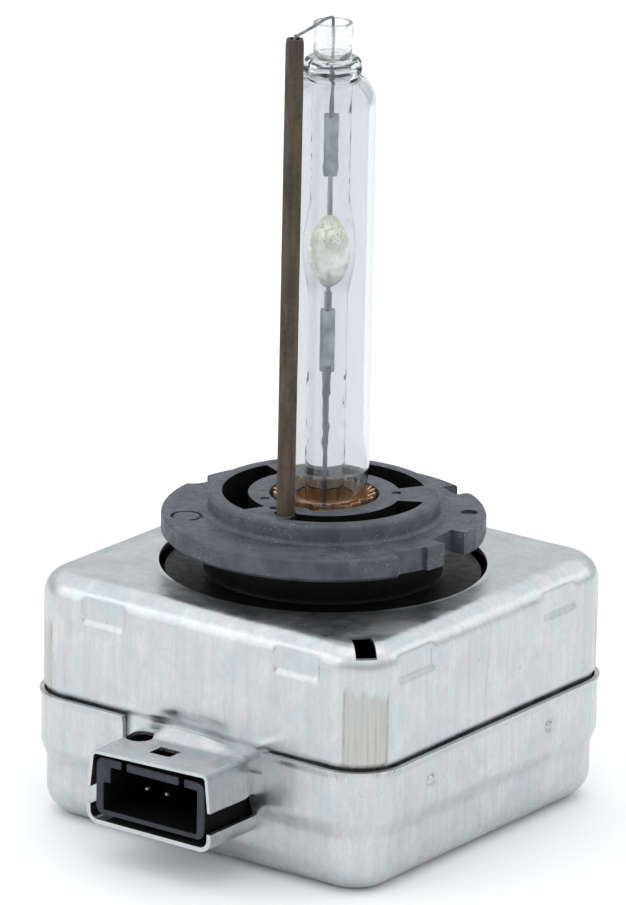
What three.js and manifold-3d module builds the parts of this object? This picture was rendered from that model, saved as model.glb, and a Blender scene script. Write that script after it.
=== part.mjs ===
// Gas-discharge headlight bulb with its igniter in the base, as separate pieces.
// Millimetres. Origin: centre of the housing's underside. +Z: the lamp's axis. -Y: the connector.
import Module from 'manifold-3d';
import * as THREE from 'three';
import { mergeVertices } from 'three/addons/utils/BufferGeometryUtils.js';

const wasm = await Module();
wasm.setup();

// ---------------------------------------------------------------- driving dimensions

const GAP = 0.3; // clearance left between neighbouring pieces
const FAR = 60; // reach of a cutter that has to run clear of a piece
const OVERLAP = 0.5; // how far joined blocks run into each other
const PAST = 1; // how far a cutter runs past the face it opens

const CAN = {
  half: 21.1, corner: 4.95, top: 25.26, topEdge: 2.4, sheet: 0.5,
  seam: 13.2, skirtHalf: 20.45, skirtBottom: 8.8, openingR: 16.3,
};
const PAN = {
  half: 20.7, corner: 4.55, bottomEdge: 2.9, rimHalf: 21.5, rimTop: 12.9,
  joggleLow: 5.6, joggleHigh: 7.7, notchLeft: -8.5, notchRight: 8.3, notchFloor: 10.5,
};
const PAD = { depth: 0.3, width: 5.4, bottom: 21.6, faceCentres: [-11.8, 11.8] };
const CORNER_SLOT = { width: 2.05, innerR: 23.2, floor: 23.9 };

const HOOD = {
  front: -28.2, top: 11.85, sheet: 0.4, half: 7.1, flapBottom: 8, bend: 1.1,
  holeX: -5.4, holeY: -22.6, holeR: 1.4, windowX: -0.6, windowY: -24.8, windowW: 2.5, windowD: 1.9,
};
const TRAY = { front: -28.2, half: 7.55, bottom: 4.1, lipTop: 6.1, sheet: 0.4 };
const SOCKET = {
  front: -28, back: -15, half: 6.6, bottom: 5.15, top: 11, corner: 0.7, floor: -18.5,
  mouthHalf: 5.7, mouthBottom: 5.65, mouthTop: 10.15, keyWidth: 0.85, keyBottom: 8.5,
  slotX: 3.5, slotWidth: 0.65, slotDepth: 4,
};
const PIN = { size: 0.64, pitch: 2.4, height: 8.5, tip: -27, bend: -12.5, foot: 3.1 };

const BASE = {
  plateHalf: 19.8, plateCorner: 4, plateBottom: 21, plateTop: 22.5,
  discR: 16, discTop: 24.5, neckR: 11.8, neckTop: 27.95, boreR: 3.9,
};
const RING = {
  r: 16.15, bottom: 28.25, top: 30.55, edge: 0.7, collarR: 11.5, collarTop: 32.6, fillet: 0.5,
  boreR: 5.45, slotInnerR: 7.55, slotOuterR: 10.15, webWidth: 4.2, webAngles: [-90, 34.5, 146],
};
const KEYS = {
  roundNotch: { angle: 179.4, centreR: 16.5, r: 1.95 },
  squareNotches: [{ angle: 3.6, width: 4, innerR: 13.6 }, { angle: 66.3, width: 3.3, innerR: 14.3 }],
  shaves: [{ from: -27, to: -12.7, r: 14.9 }, { from: -12.8, to: 0, r: 15.4 }],
};
const CLAMP = { meanR: 4.8, wave: 0.3, pleats: 18, sheet: 0.22, bottom: 29.4, top: 32.75, gripR: 3.25 };

const BULB = {
  r: 4.38, wall: 0.8, neckR: 2.95, neckInnerR: 2.25, bottom: 29.2, neckTop: 33.4, lowerShoulder: 35.7,
  upperShoulder: 72.3, beadR: 2.8, beadBottom: 75, beadTop: 76.4, top: 76.9,
  beadStep: 0.2, thickening: 0.4, neckThickening: 0.9,
};
const BURNER = {
  legR: 1.95, boreR: 0.85, bottom: 27.8, vesselR: 3, cavityR: 1.37, centre: 57.65, vesselHalf: 4.6,
  cavityHalf: 3.7, neckZ: 77.4, neckR: 1.69, endR: 1.9, endBoreR: 1.2, top: 80.3,
};
const ARC = { lowerTip: 55.55, upperTip: 59.75, tipR: 0.13, rodR: 0.19, coilR: 0.28, coilTop: 53.4 };
const FOIL = { width: 1, thickness: 0.12, length: 6.5, lowerBottom: 45.1, upperBottom: 65, turn: 35.8 };
const LEAD = {
  r: 0.24, top: 80.95, end: 19.4, bend: 0.9,
  lowerR: 0.2, stubR: 0.29, stubLength: 2.4, lowerEnd: 17.4,
};
const SALT = { r: 0.24, stretch: 1.6, x: 0.62, y: -0.3, belowCentre: 1.4 };
const SLEEVE = {
  footX: 1.05, footY: -7.9, topX: 1.02, topY: -7.67, r: 0.89, boreR: 0.54, foot: 31.4, top: 80.3,
};

const CARRIER = {
  bottom: 1, floor: 2, half: 18.6, corner: 3.6, postAt: 16.1, postR: 1.6, postTop: 20.6,
  bracketX: 14.6, bracketThick: 1, bracketHalf: 3.5, bracketTop: 13,
};
const PLATE = { bottom: 2.3, top: 2.75, halfX: 15, yFrom: -15.2, yTo: -2, slotHalf: 5, slotFrom: -12.2 };
const COIL = {
  y: 10.6, z: 12.3, coreR: 2.9, coreHalf: 13.5, tubeR: 4, flangeR: 7.2, half: 13.3, flange: 0.8, chambers: 3,
  wireR: 6.6, stripR: 7.8, stripWidth: 2.2, stripThick: 0.4, stripTurns: 3.5, stripPitch: 4.2,
  stripSteps: 49, sides: 24,
};
const SPARK_GAP = {
  x: 12.3, y: -9, z: 7.2, bodyR: 3.5, bodyHalf: 2.5, capR: 3.9, cap: 1.1, studR: 0.6, stud: 1.2,
};
const CAPACITOR = { x: -12, y: -9, halfX: 3.5, halfY: 6, bottom: 3.1, top: 13.6, edge: 0.8 };
const RESISTOR = { x: 12.3, y: -9, z: 14, r: 1.15, half: 3.1, shoulder: 0.4, leadR: 0.3, leadHalf: 5.2 };
const CHOKE = { x: -4.2, y: -10, z: 14.9, coreR: 1.2, coreHalf: 5.4, windingR: 2.6, windingHalf: 4 };
const INSULATOR = { r: 3.6, boreR: 1.6, bottom: 16.7, top: 27.4 };
const HV = { r: 1.2, boreR: 0.55, bottom: 15.9, top: 25, strapHalf: 1, strapTo: 3, strapThick: 0.4 };
const RETURN = { r: 1.1, boreR: 0.56, bottom: 15, top: 20.3, stripHalf: 0.6, stripThick: 0.4, foot: 3.1 };

// ---------------------------------------------------------------- finishes

function finish(color, roughness, metalness) {
  return new THREE.MeshStandardMaterial({ color, roughness, metalness });
}

const FINISH = {
  aluminium: finish(0xcdd2d4, 0.35, 1),
  blackPlastic: finish(0x141416, 0.3, 0),
  ringPlastic: finish(0x4a4d52, 0.6, 0),
  socketPlastic: finish(0x25272c, 0.5, 0),
  copper: finish(0xb87a3c, 0.3, 1),
  quartz: finish(0xe8eef2, 0.03, 0),
  metal: finish(0x8b9096, 0.35, 1),
  foil: finish(0x76828c, 0.4, 1),
  salt: finish(0xcfd58a, 0.7, 0),
  ceramic: finish(0x6b5846, 0.75, 0),
  carrier: finish(0xd8d2c0, 0.6, 0),
  brass: finish(0xb99a55, 0.35, 1),
  ferrite: finish(0x2c2c30, 0.7, 0),
  winding: finish(0x9a4f24, 0.4, 1),
  whiteCeramic: finish(0xe6e2d8, 0.5, 0),
  capacitor: finish(0x35567f, 0.5, 0),
  resistor: finish(0x7f9fa6, 0.5, 0),
};

// ---------------------------------------------------------------- solids and geometry

const radians = THREE.MathUtils.degToRad;

// A closed three.js geometry as a solid that can be joined and cut.
function solid(geometry) {
  const bare = geometry.clone();
  bare.deleteAttribute('normal');
  bare.deleteAttribute('uv');
  const merged = mergeVertices(bare, 1e-4);
  const index = merged.index.array;
  const corners = [];
  for (let i = 0; i < index.length; i += 3) {
    const [a, b, c] = index.subarray(i, i + 3);
    if (a !== b && b !== c && c !== a) corners.push(a, b, c);
  }
  return new wasm.Manifold(new wasm.Mesh({
    numProp: 3,
    vertProperties: new Float32Array(merged.attributes.position.array),
    triVerts: new Uint32Array(corners),
  }));
}

function geometryOf(body) {
  const { vertProperties, triVerts } = body.getMesh();
  const geometry = new THREE.BufferGeometry();
  geometry.setAttribute('position', new THREE.BufferAttribute(new Float32Array(vertProperties), 3));
  geometry.setIndex(new THREE.BufferAttribute(new Uint32Array(triVerts), 1));
  geometry.computeVertexNormals();
  return geometry;
}

function join(first, ...others) {
  return others.reduce((sum, other) => sum.add(other), first);
}

function cut(first, ...others) {
  return others.reduce((rest, other) => rest.subtract(other), first);
}

// Box between two corners.
function box(x0, x1, y0, y1, z0, z1) {
  const geometry = new THREE.BoxGeometry(x1 - x0, y1 - y0, z1 - z0);
  return solid(geometry.translate((x0 + x1) / 2, (y0 + y1) / 2, (z0 + z1) / 2));
}

function cylinder(r, z0, z1, x = 0, y = 0, sides = 40) {
  const geometry = new THREE.CylinderGeometry(r, r, z1 - z0, sides);
  return solid(geometry.rotateX(Math.PI / 2).translate(x, y, (z0 + z1) / 2));
}

function roundedRect(halfX, halfY, corner) {
  const shape = new THREE.Shape();
  const [x, y] = [halfX - corner, halfY - corner];
  shape.absarc(x, -y, corner, -Math.PI / 2, 0);
  shape.absarc(x, y, corner, 0, Math.PI / 2);
  shape.absarc(-x, y, corner, Math.PI / 2, Math.PI);
  shape.absarc(-x, -y, corner, Math.PI, Math.PI * 1.5);
  return shape;
}

// Upright block of a rounded outline, rounded along its top and bottom edges too when edge is given.
function block(shape, z0, z1, edge = 0, curveSegments = 3) {
  const bevel = edge > 0
    ? { bevelThickness: edge, bevelSize: edge, bevelOffset: -edge, bevelSegments: 3 }
    : { bevelEnabled: false };
  const geometry = new THREE.ExtrudeGeometry(shape, { depth: z1 - z0 - 2 * edge, curveSegments, ...bevel });
  return solid(geometry.translate(0, 0, z0 + edge));
}

// Solid of revolution about +Z from [radius, z] points; a profile that doesn't end on the axis is closed.
function turned(points, sides = 40) {
  const profile = points.map(([r, z]) => new THREE.Vector2(r, z));
  if (THREE.ShapeUtils.area(profile) < 0) profile.reverse();
  if (profile.some((point) => point.x === 0)) return turnedOnAxis(profile, sides);
  profile.push(profile[0].clone());
  return solid(new THREE.LatheGeometry(profile, sides).rotateX(Math.PI / 2));
}

function turnedOnAxis(profile, sides) {
  const start = profile.findIndex((point, i) => point.x === 0 && profile.at(i - 1).x === 0);
  const ordered = [...profile.slice(start), ...profile.slice(0, start)];
  return solid(new THREE.LatheGeometry(ordered, sides).rotateX(Math.PI / 2));
}

function arcPoints(centreR, centreZ, r, fromDeg, toDeg, steps) {
  return Array.from({ length: steps + 1 }, (_, i) => {
    const angle = radians(fromDeg + ((toDeg - fromDeg) * i) / steps);
    return [centreR + r * Math.cos(angle), centreZ + r * Math.sin(angle)];
  });
}

function lying(body, axis, x, y, z) {
  const turn = axis === 'X' ? [0, 90, 0] : [-90, 0, 0];
  return body.rotate(turn).translate([x, y, z]);
}

const lamp = new THREE.Group();

function place(name, body, material) {
  const mesh = new THREE.Mesh(geometryOf(body), material);
  mesh.name = name;
  lamp.add(mesh);
}

// ---------------------------------------------------------------- housing

function upperShell() {
  const outline = (inset, half = CAN.half) => {
    const corner = CAN.corner - (CAN.half - half) - inset;
    return roundedRect(half - inset, half - inset, corner);
  };
  const above = (z) => box(-FAR, FAR, -FAR, FAR, z, FAR);
  const outside = block(outline(0), 0, CAN.top, CAN.topEdge).intersect(above(CAN.seam));
  const skirt = block(outline(0, CAN.skirtHalf), CAN.skirtBottom, CAN.seam + CAN.sheet);
  const inside = block(outline(CAN.sheet), 0, CAN.top - CAN.sheet, CAN.topEdge - CAN.sheet)
    .intersect(above(CAN.seam + CAN.sheet));
  const insideSkirt = block(outline(CAN.sheet, CAN.skirtHalf), 0, CAN.seam + 2 * CAN.sheet);
  const halfSlot = CORNER_SLOT.width / 2;
  const slot = box(CORNER_SLOT.innerR, FAR, -halfSlot, halfSlot, CORNER_SLOT.floor, FAR);
  const opening = cylinder(CAN.openingR, CAN.seam, FAR, 0, 0, 48);
  const shell = cut(join(outside, skirt), inside, insideSkirt, opening);
  const pressed = cut(shell, slot.rotate([0, 0, -45]), ...pads(), hoodPassage());
  return cut(join(pressed, hood()), ...hoodHoles());
}

// Shallow pads pressed into the four walls just under the top edge.
function pads() {
  const pad = (centre) => box(
    centre - PAD.width / 2, centre + PAD.width / 2, -FAR, PAD.depth - CAN.half,
    PAD.bottom, CAN.top - CAN.topEdge,
  );
  return [0, 90, 180, 270].flatMap((turn) => (
    PAD.faceCentres.map((centre) => pad(centre).rotate([0, 0, turn]))
  ));
}

function hoodPassage() {
  return box(-HOOD.half, HOOD.half, -FAR, -CAN.skirtHalf + 2 * PAST, 0, HOOD.top);
}

// Sheet bent out of the wall above the connector, with a flap turned down on each side.
function hood() {
  const root = -CAN.skirtHalf + CAN.sheet;
  const roof = box(-HOOD.half, HOOD.half, HOOD.front, root, HOOD.top - HOOD.sheet, HOOD.top);
  const flaps = [-1, 1].map((side) => {
    const [inner, outer] = [side * (HOOD.half - HOOD.sheet), side * HOOD.half];
    return box(Math.min(inner, outer), Math.max(inner, outer), HOOD.front, root, HOOD.flapBottom, HOOD.top);
  });
  const bend = new THREE.Shape();
  bend.moveTo(-CAN.half - HOOD.bend, HOOD.top);
  bend.absarc(-CAN.half - HOOD.bend, HOOD.top + HOOD.bend, HOOD.bend, -Math.PI / 2, 0);
  bend.lineTo(-CAN.half, CAN.seam + CAN.sheet);
  bend.lineTo(root, CAN.seam + CAN.sheet);
  bend.lineTo(root, HOOD.top - HOOD.sheet);
  bend.lineTo(-CAN.half - HOOD.bend, HOOD.top - HOOD.sheet);
  const geometry = new THREE.ExtrudeGeometry(bend, {
    depth: 2 * HOOD.half, bevelEnabled: false, curveSegments: 4,
  });
  // the outline's first axis becomes Y and its second Z
  geometry.applyMatrix4(new THREE.Matrix4().set(0, 0, 1, -HOOD.half, 1, 0, 0, 0, 0, 1, 0, 0, 0, 0, 0, 1));
  return join(roof, ...flaps, solid(geometry));
}

function hoodHoles() {
  const [x, y] = [HOOD.windowX, HOOD.windowY];
  const [w, d] = [HOOD.windowW / 2, HOOD.windowD / 2];
  return [
    cylinder(HOOD.holeR, HOOD.top - PAST, CAN.seam, HOOD.holeX, HOOD.holeY, 20),
    box(x - w, x + w, y - d, y + d, HOOD.top - PAST, HOOD.top + PAST),
  ];
}

function lowerShell() {
  const outline = (inset, half) => {
    const corner = PAN.corner - (PAN.half - half) - inset;
    return roundedRect(half - inset, half - inset, corner);
  };
  const bodyBlock = (inset, z0) => (
    block(outline(inset, PAN.half), z0, PAN.rimTop * 2, PAN.bottomEdge - inset)
  );
  const rimBlock = (inset, lift) => {
    const flare = PAN.rimHalf - PAN.half;
    const rise = PAN.joggleHigh - PAN.joggleLow;
    const geometry = new THREE.ExtrudeGeometry(outline(inset, PAN.rimHalf), {
      depth: PAN.rimTop, curveSegments: 3,
      bevelThickness: rise, bevelSize: flare, bevelOffset: -flare, bevelSegments: 1,
    });
    return solid(geometry.translate(0, 0, PAN.joggleHigh + lift));
  };
  const below = box(-FAR, FAR, -FAR, FAR, -FAR, PAN.rimTop);
  const outside = join(bodyBlock(0, 0), rimBlock(0, 0)).intersect(below);
  const inside = join(bodyBlock(CAN.sheet, CAN.sheet), rimBlock(CAN.sheet, CAN.sheet / 4));
  const notch = box(PAN.notchLeft, PAN.notchRight, -FAR, -CAN.half + PAST, PAN.notchFloor, FAR);
  const mouth = box(
    TRAY.sheet - TRAY.half, TRAY.half - TRAY.sheet, -FAR, -PAN.half + 2 * PAST, TRAY.bottom + TRAY.sheet, FAR,
  );
  return cut(join(cut(outside, inside), cut(tray(), inside)), notch, mouth);
}

// Shelf under the connector with a lip along each side.
function tray() {
  const outer = box(-TRAY.half, TRAY.half, TRAY.front, -PAN.half + PAST, TRAY.bottom, TRAY.lipTop);
  const inner = box(
    TRAY.sheet - TRAY.half, TRAY.half - TRAY.sheet, -FAR, 0, TRAY.bottom + TRAY.sheet, FAR,
  );
  return cut(outer, inner);
}

place('upper_housing_shell', upperShell(), FINISH.aluminium);
place('lower_housing_shell', lowerShell(), FINISH.aluminium);

// ---------------------------------------------------------------- connector

function connectorHousing() {
  const middle = (SOCKET.bottom + SOCKET.top) / 2;
  const shape = roundedRect(SOCKET.half, (SOCKET.top - SOCKET.bottom) / 2, SOCKET.corner);
  const geometry = new THREE.ExtrudeGeometry(shape, {
    depth: SOCKET.back - SOCKET.front, bevelEnabled: false, curveSegments: 3,
  });
  const outer = solid(geometry.rotateX(Math.PI / 2).translate(0, SOCKET.back, middle));
  const { mouthHalf: half, front } = SOCKET;
  const mouth = box(-half, half, front - PAST, SOCKET.floor, SOCKET.mouthBottom, SOCKET.mouthTop);
  const key = box(-FAR, SOCKET.keyWidth - half, -FAR, SOCKET.floor + PAST, SOCKET.keyBottom, FAR);
  const slots = [-1, 1].map((side) => {
    const x = side * SOCKET.slotX;
    const w = SOCKET.slotWidth / 2;
    return box(x - w, x + w, front - PAST, front + SOCKET.slotDepth, SOCKET.mouthTop - PAST, FAR);
  });
  const holes = [-1, 1].map((side) => {
    const x = (side * PIN.pitch) / 2;
    const w = PIN.size / 2 + GAP;
    return box(x - w, x + w, SOCKET.floor - PAST, SOCKET.back + PAST, PIN.height - w, PIN.height + w);
  });
  return cut(outer, cut(mouth, key), ...slots, ...holes);
}

// Square pin that runs back from the socket and turns down to the conductor plate.
function contactPin(side) {
  const x = (side * PIN.pitch) / 2;
  const w = PIN.size / 2;
  const run = box(x - w, x + w, PIN.tip, PIN.bend + w, PIN.height - w, PIN.height + w);
  const leg = box(x - w, x + w, PIN.bend - w, PIN.bend + w, PIN.foot, PIN.height + w);
  return join(run, leg);
}

place('connector_housing', connectorHousing(), FINISH.socketPlastic);
place('contact_pin_left', contactPin(-1), FINISH.metal);
place('contact_pin_right', contactPin(1), FINISH.metal);

// ---------------------------------------------------------------- base and ring

function baseMoulding() {
  const square = roundedRect(BASE.plateHalf, BASE.plateHalf, BASE.plateCorner);
  const plate = block(square, BASE.plateBottom, BASE.plateTop);
  const disc = cylinder(BASE.discR, BASE.plateTop - OVERLAP, BASE.discTop, 0, 0, 48);
  const neck = cylinder(BASE.neckR, BASE.discTop - OVERLAP, BASE.neckTop);
  const bore = cylinder(BASE.boreR, 0, FAR, 0, 0, 24);
  const wireHole = cylinder(LEAD.r + GAP, 0, FAR, SLEEVE.footX, SLEEVE.footY, 12);
  return cut(join(plate, disc, neck), bore, wireHole);
}

function baseRing() {
  const { r, bottom, top, edge, collarR, collarTop, fillet, boreR } = RING;
  const body = turned([
    [boreR, bottom],
    [r - edge / 2, bottom],
    [r, bottom + edge / 2],
    ...arcPoints(r - edge, top - edge, edge, 0, 90, 2),
    ...arcPoints(collarR + fillet, top + fillet, fillet, -90, -180, 2),
    ...arcPoints(collarR - fillet / 2, collarTop - fillet / 2, fillet / 2, 0, 90, 2),
    [boreR, collarTop],
  ], 48);
  const slots = turned([
    [RING.slotInnerR, 0], [RING.slotOuterR, 0], [RING.slotOuterR, FAR], [RING.slotInnerR, FAR],
  ], 40);
  const webs = RING.webAngles.map((angle) => (
    box(0, collarR, -RING.webWidth / 2, RING.webWidth / 2, -PAST, FAR + PAST).rotate([0, 0, angle])
  ));
  const sleeveHole = cylinder(SLEEVE.r + GAP, 0, FAR, SLEEVE.footX, SLEEVE.footY, 16);
  return cut(body, cut(slots, ...webs), sleeveHole, ...keyCuts());
}

// Notches that let the ring enter its socket one way round only.
function keyCuts() {
  const { angle: roundAngle, centreR, r: notchR } = KEYS.roundNotch;
  const round = cylinder(notchR, 0, FAR, centreR, 0, 16).rotate([0, 0, roundAngle]);
  const squares = KEYS.squareNotches.map(({ angle, width, innerR }) => (
    box(innerR, FAR, -width / 2, width / 2, 0, FAR).rotate([0, 0, angle])
  ));
  const shaves = KEYS.shaves.map(({ from, to, r }) => {
    const sector = new THREE.Shape();
    sector.absarc(0, 0, r, radians(from), radians(to));
    sector.absarc(0, 0, RING.r + 2 * PAST, radians(to), radians(from), true);
    return block(sector, 0, FAR, 0, 2);
  });
  return [round, ...squares, ...shaves];
}

// Thin copper cylinder in pleats, on a floor that grips the neck of the glass.
function clampRing() {
  const wave = (inset) => Array.from({ length: CLAMP.pleats * 4 }, (_, i) => {
    const angle = (i / (CLAMP.pleats * 4)) * 2 * Math.PI;
    const r = CLAMP.meanR - inset + CLAMP.wave * Math.cos(CLAMP.pleats * angle);
    return new THREE.Vector2(r * Math.cos(angle), r * Math.sin(angle));
  });
  const outer = block(new THREE.Shape(wave(0)), CLAMP.bottom, CLAMP.top);
  const inner = block(new THREE.Shape(wave(CLAMP.sheet)), CLAMP.bottom + CLAMP.sheet, FAR);
  return cut(outer, inner, cylinder(CLAMP.gripR, 0, FAR, 0, 0, 24));
}

place('base_moulding', baseMoulding(), FINISH.blackPlastic);
place('base_ring', baseRing(), FINISH.ringPlastic);
place('burner_clamp_ring', clampRing(), FINISH.copper);

// ---------------------------------------------------------------- glass

// Quarter of an ellipse from one [radius, z] point to another, leaving the first one upright.
function shoulder([r0, z0], [r1, z1], steps) {
  return Array.from({ length: steps + 1 }, (_, i) => {
    const angle = ((Math.PI / 2) * i) / steps;
    return [r1 + (r0 - r1) * Math.cos(angle), z0 + (z1 - z0) * Math.sin(angle)];
  });
}

function outerBulb() {
  const { neckInnerR, beadStep, thickening, neckThickening } = BULB;
  const innerR = BULB.r - BULB.wall;
  const upperInside = shoulder(
    [innerR, BULB.upperShoulder - thickening], [neckInnerR, BULB.beadBottom - neckThickening], 3,
  );
  const lowerInside = shoulder(
    [innerR, BULB.lowerShoulder + thickening], [neckInnerR, BULB.neckTop + neckThickening], 3,
  );
  return turned([
    [neckInnerR, BULB.bottom],
    [BULB.neckR, BULB.bottom],
    ...shoulder([BULB.r, BULB.lowerShoulder], [BULB.neckR, BULB.neckTop], 4).reverse(),
    ...shoulder([BULB.r, BULB.upperShoulder], [BULB.beadR - beadStep, BULB.beadBottom], 4),
    [BULB.beadR, BULB.beadBottom + beadStep],
    ...shoulder([BULB.beadR, BULB.beadTop - 2 * beadStep], [neckInnerR + beadStep / 2, BULB.top], 2),
    [neckInnerR, BULB.top],
    ...upperInside.reverse(),
    ...lowerInside,
  ], 28);
}

// Outline of a bulge that rises smoothly from one radius to another and back.
function bulge(baseR, peakR, centre, half, steps) {
  return Array.from({ length: steps + 1 }, (_, i) => {
    const t = (i / steps) * 2 - 1;
    return [baseR + (peakR - baseR) * Math.sqrt(Math.max(0, 1 - t * t)), centre + t * half];
  });
}

function burnerTube() {
  const { legR, boreR, centre } = BURNER;
  return turned([
    [boreR, BURNER.bottom],
    [legR, BURNER.bottom],
    ...bulge(legR, BURNER.vesselR, centre, BURNER.vesselHalf, 8),
    [legR, BULB.beadBottom],
    [BURNER.neckR, BURNER.neckZ],
    [BURNER.endR, BURNER.top],
    [BURNER.endBoreR, BURNER.top],
    [boreR, BULB.beadBottom],
    ...bulge(boreR, BURNER.cavityR, centre, BURNER.cavityHalf, 6).reverse(),
  ], 20);
}

place('outer_bulb', outerBulb(), FINISH.quartz);
place('burner_tube', burnerTube(), FINISH.quartz);

// ---------------------------------------------------------------- what carries the current

function upperElectrode() {
  return turned([
    [0, ARC.upperTip], [ARC.tipR, ARC.upperTip], [ARC.rodR, ARC.upperTip + ARC.tipR],
    [ARC.rodR, FOIL.upperBottom - GAP], [0, FOIL.upperBottom - GAP],
  ], 12);
}

function lowerElectrode() {
  const foot = FOIL.lowerBottom + FOIL.length + GAP;
  return turned([
    [0, foot], [ARC.coilR, foot], [ARC.coilR, ARC.coilTop], [ARC.tipR, ARC.coilTop],
    [ARC.tipR, ARC.lowerTip], [0, ARC.lowerTip],
  ], 12);
}

function foil(bottom) {
  const [w, t] = [FOIL.width / 2, FOIL.thickness / 2];
  return box(-w, w, -t, t, bottom, bottom + FOIL.length).rotate([0, 0, FOIL.turn]);
}

function saltDose() {
  const grain = new THREE.SphereGeometry(SALT.r, 10, 8).scale(1, 1, SALT.stretch);
  return solid(grain.rotateX(Math.PI / 2).translate(SALT.x, SALT.y, BURNER.centre - SALT.belowCentre));
}

// Up out of the upper foil, over the top and down the middle of the sleeve.
function returnLeadWire() {
  const axisStart = new THREE.Vector3(0, 0, FOIL.upperBottom + FOIL.length + GAP);
  const over = new THREE.Vector3(SLEEVE.topX, SLEEVE.topY, LEAD.top);
  const { bend } = LEAD;
  const outwards = new THREE.Vector3(over.x, over.y, 0).normalize();
  const corner = new THREE.Vector3(0, 0, LEAD.top);
  const afterCorner = corner.clone().addScaledVector(outwards, bend);
  const beforeSleeve = over.clone().addScaledVector(outwards, -bend);
  const sleeveTop = new THREE.Vector3(SLEEVE.topX, SLEEVE.topY, LEAD.top - bend);
  const path = new THREE.CurvePath();
  path.add(new THREE.LineCurve3(axisStart, new THREE.Vector3(0, 0, LEAD.top - bend)));
  path.add(new THREE.QuadraticBezierCurve3(new THREE.Vector3(0, 0, LEAD.top - bend), corner, afterCorner));
  path.add(new THREE.LineCurve3(afterCorner, beforeSleeve));
  path.add(new THREE.QuadraticBezierCurve3(beforeSleeve, over, sleeveTop));
  path.add(new THREE.LineCurve3(sleeveTop, new THREE.Vector3(SLEEVE.footX, SLEEVE.footY, LEAD.end)));
  const section = new THREE.Shape();
  section.absarc(0, 0, LEAD.r, 0, 2 * Math.PI);
  return solid(new THREE.ExtrudeGeometry(section, { extrudePath: path, steps: 64, curveSegments: 4 }));
}

function lowerLeadWire() {
  const top = FOIL.lowerBottom - GAP;
  return turned([
    [0, LEAD.lowerEnd], [LEAD.lowerR, LEAD.lowerEnd], [LEAD.lowerR, top - LEAD.stubLength],
    [LEAD.stubR, top - LEAD.stubLength], [LEAD.stubR, top], [0, top],
  ], 12);
}

function ceramicSleeve() {
  const foot = new THREE.Vector3(SLEEVE.footX, SLEEVE.footY, SLEEVE.foot);
  const lean = new THREE.Vector3(SLEEVE.topX, SLEEVE.topY, SLEEVE.top).sub(foot);
  const upright = new THREE.Vector3(0, 0, 1);
  const turn = new THREE.Quaternion().setFromUnitVectors(upright, lean.clone().normalize());
  const length = lean.length();
  const tube = turned([
    [SLEEVE.boreR, 0], [SLEEVE.r, 0], [SLEEVE.r, length], [SLEEVE.boreR, length],
  ], 20);
  const matrix = new THREE.Matrix4().compose(foot, turn, new THREE.Vector3(1, 1, 1));
  return tube.transform(matrix.toArray());
}

place('upper_electrode', upperElectrode(), FINISH.metal);
place('lower_electrode', lowerElectrode(), FINISH.metal);
place('upper_foil', foil(FOIL.upperBottom), FINISH.foil);
place('lower_foil', foil(FOIL.lowerBottom), FINISH.foil);
place('halide_salt', saltDose(), FINISH.salt);
place('return_lead_wire', returnLeadWire(), FINISH.metal);
place('lower_lead_wire', lowerLeadWire(), FINISH.metal);
place('ceramic_sleeve', ceramicSleeve(), FINISH.ceramic);

// ---------------------------------------------------------------- igniter inside the housing

function carrier() {
  const floor = block(roundedRect(CARRIER.half, CARRIER.half, CARRIER.corner), CARRIER.bottom, CARRIER.floor);
  const { postR, postAt, postTop } = CARRIER;
  const posts = [-1, 1].flatMap((sx) => [-1, 1].map((sy) => (
    cylinder(postR, CARRIER.floor - OVERLAP, postTop, sx * postAt, sy * postAt, 16)
  )));
  const brackets = [-1, 1].map((side) => {
    const [x, t, w] = [side * CARRIER.bracketX, CARRIER.bracketThick / 2, CARRIER.bracketHalf];
    return box(x - t, x + t, COIL.y - w, COIL.y + w, CARRIER.floor - OVERLAP, CARRIER.bracketTop);
  });
  return join(floor, ...posts, ...brackets);
}

function conductorPlate() {
  const sheet = box(-PLATE.halfX, PLATE.halfX, PLATE.yFrom, PLATE.yTo, PLATE.bottom, PLATE.top);
  const gap = box(-PLATE.slotHalf, PLATE.slotHalf, -FAR, PLATE.slotFrom, 0, FAR);
  return cut(sheet, gap, ...[-1, 1].map((side) => (
    cylinder(CARRIER.postR + GAP, 0, FAR, side * CARRIER.postAt, -CARRIER.postAt, 16)
  )));
}

function coilPiece(points) {
  return lying(turned(points, COIL.sides), 'X', 0, COIL.y, COIL.z);
}

// Tube with cheeks that divide it into chambers.
function bobbin() {
  const { half, flange, chambers, tubeR, flangeR } = COIL;
  const pitch = (2 * half - flange) / chambers;
  const outline = [[COIL.coreR + GAP, -half]];
  for (let i = 0; i <= chambers; i += 1) {
    const start = -half + i * pitch;
    if (i > 0) outline.push([tubeR, start]);
    outline.push([flangeR, start], [flangeR, start + flange]);
    if (i < chambers) outline.push([tubeR, start + flange]);
  }
  outline.push([COIL.coreR + GAP, half]);
  return coilPiece(outline);
}

function secondaryWinding(chamber) {
  const pitch = (2 * COIL.half - COIL.flange) / COIL.chambers;
  const start = -COIL.half + chamber * pitch + COIL.flange + GAP;
  const end = start + pitch - COIL.flange - 2 * GAP;
  const innerR = COIL.tubeR + GAP;
  return coilPiece([[innerR, start], [COIL.wireR, start], [COIL.wireR, end], [innerR, end]]);
}

// Helix about the X axis.
class StripPath extends THREE.Curve {
  getPoint(t, target = new THREE.Vector3()) {
    const angle = t * COIL.stripTurns * 2 * Math.PI;
    const x = (t - 0.5) * COIL.stripTurns * COIL.stripPitch;
    return target.set(x, COIL.y + COIL.stripR * Math.cos(angle), COIL.z + COIL.stripR * Math.sin(angle));
  }
}

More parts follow.
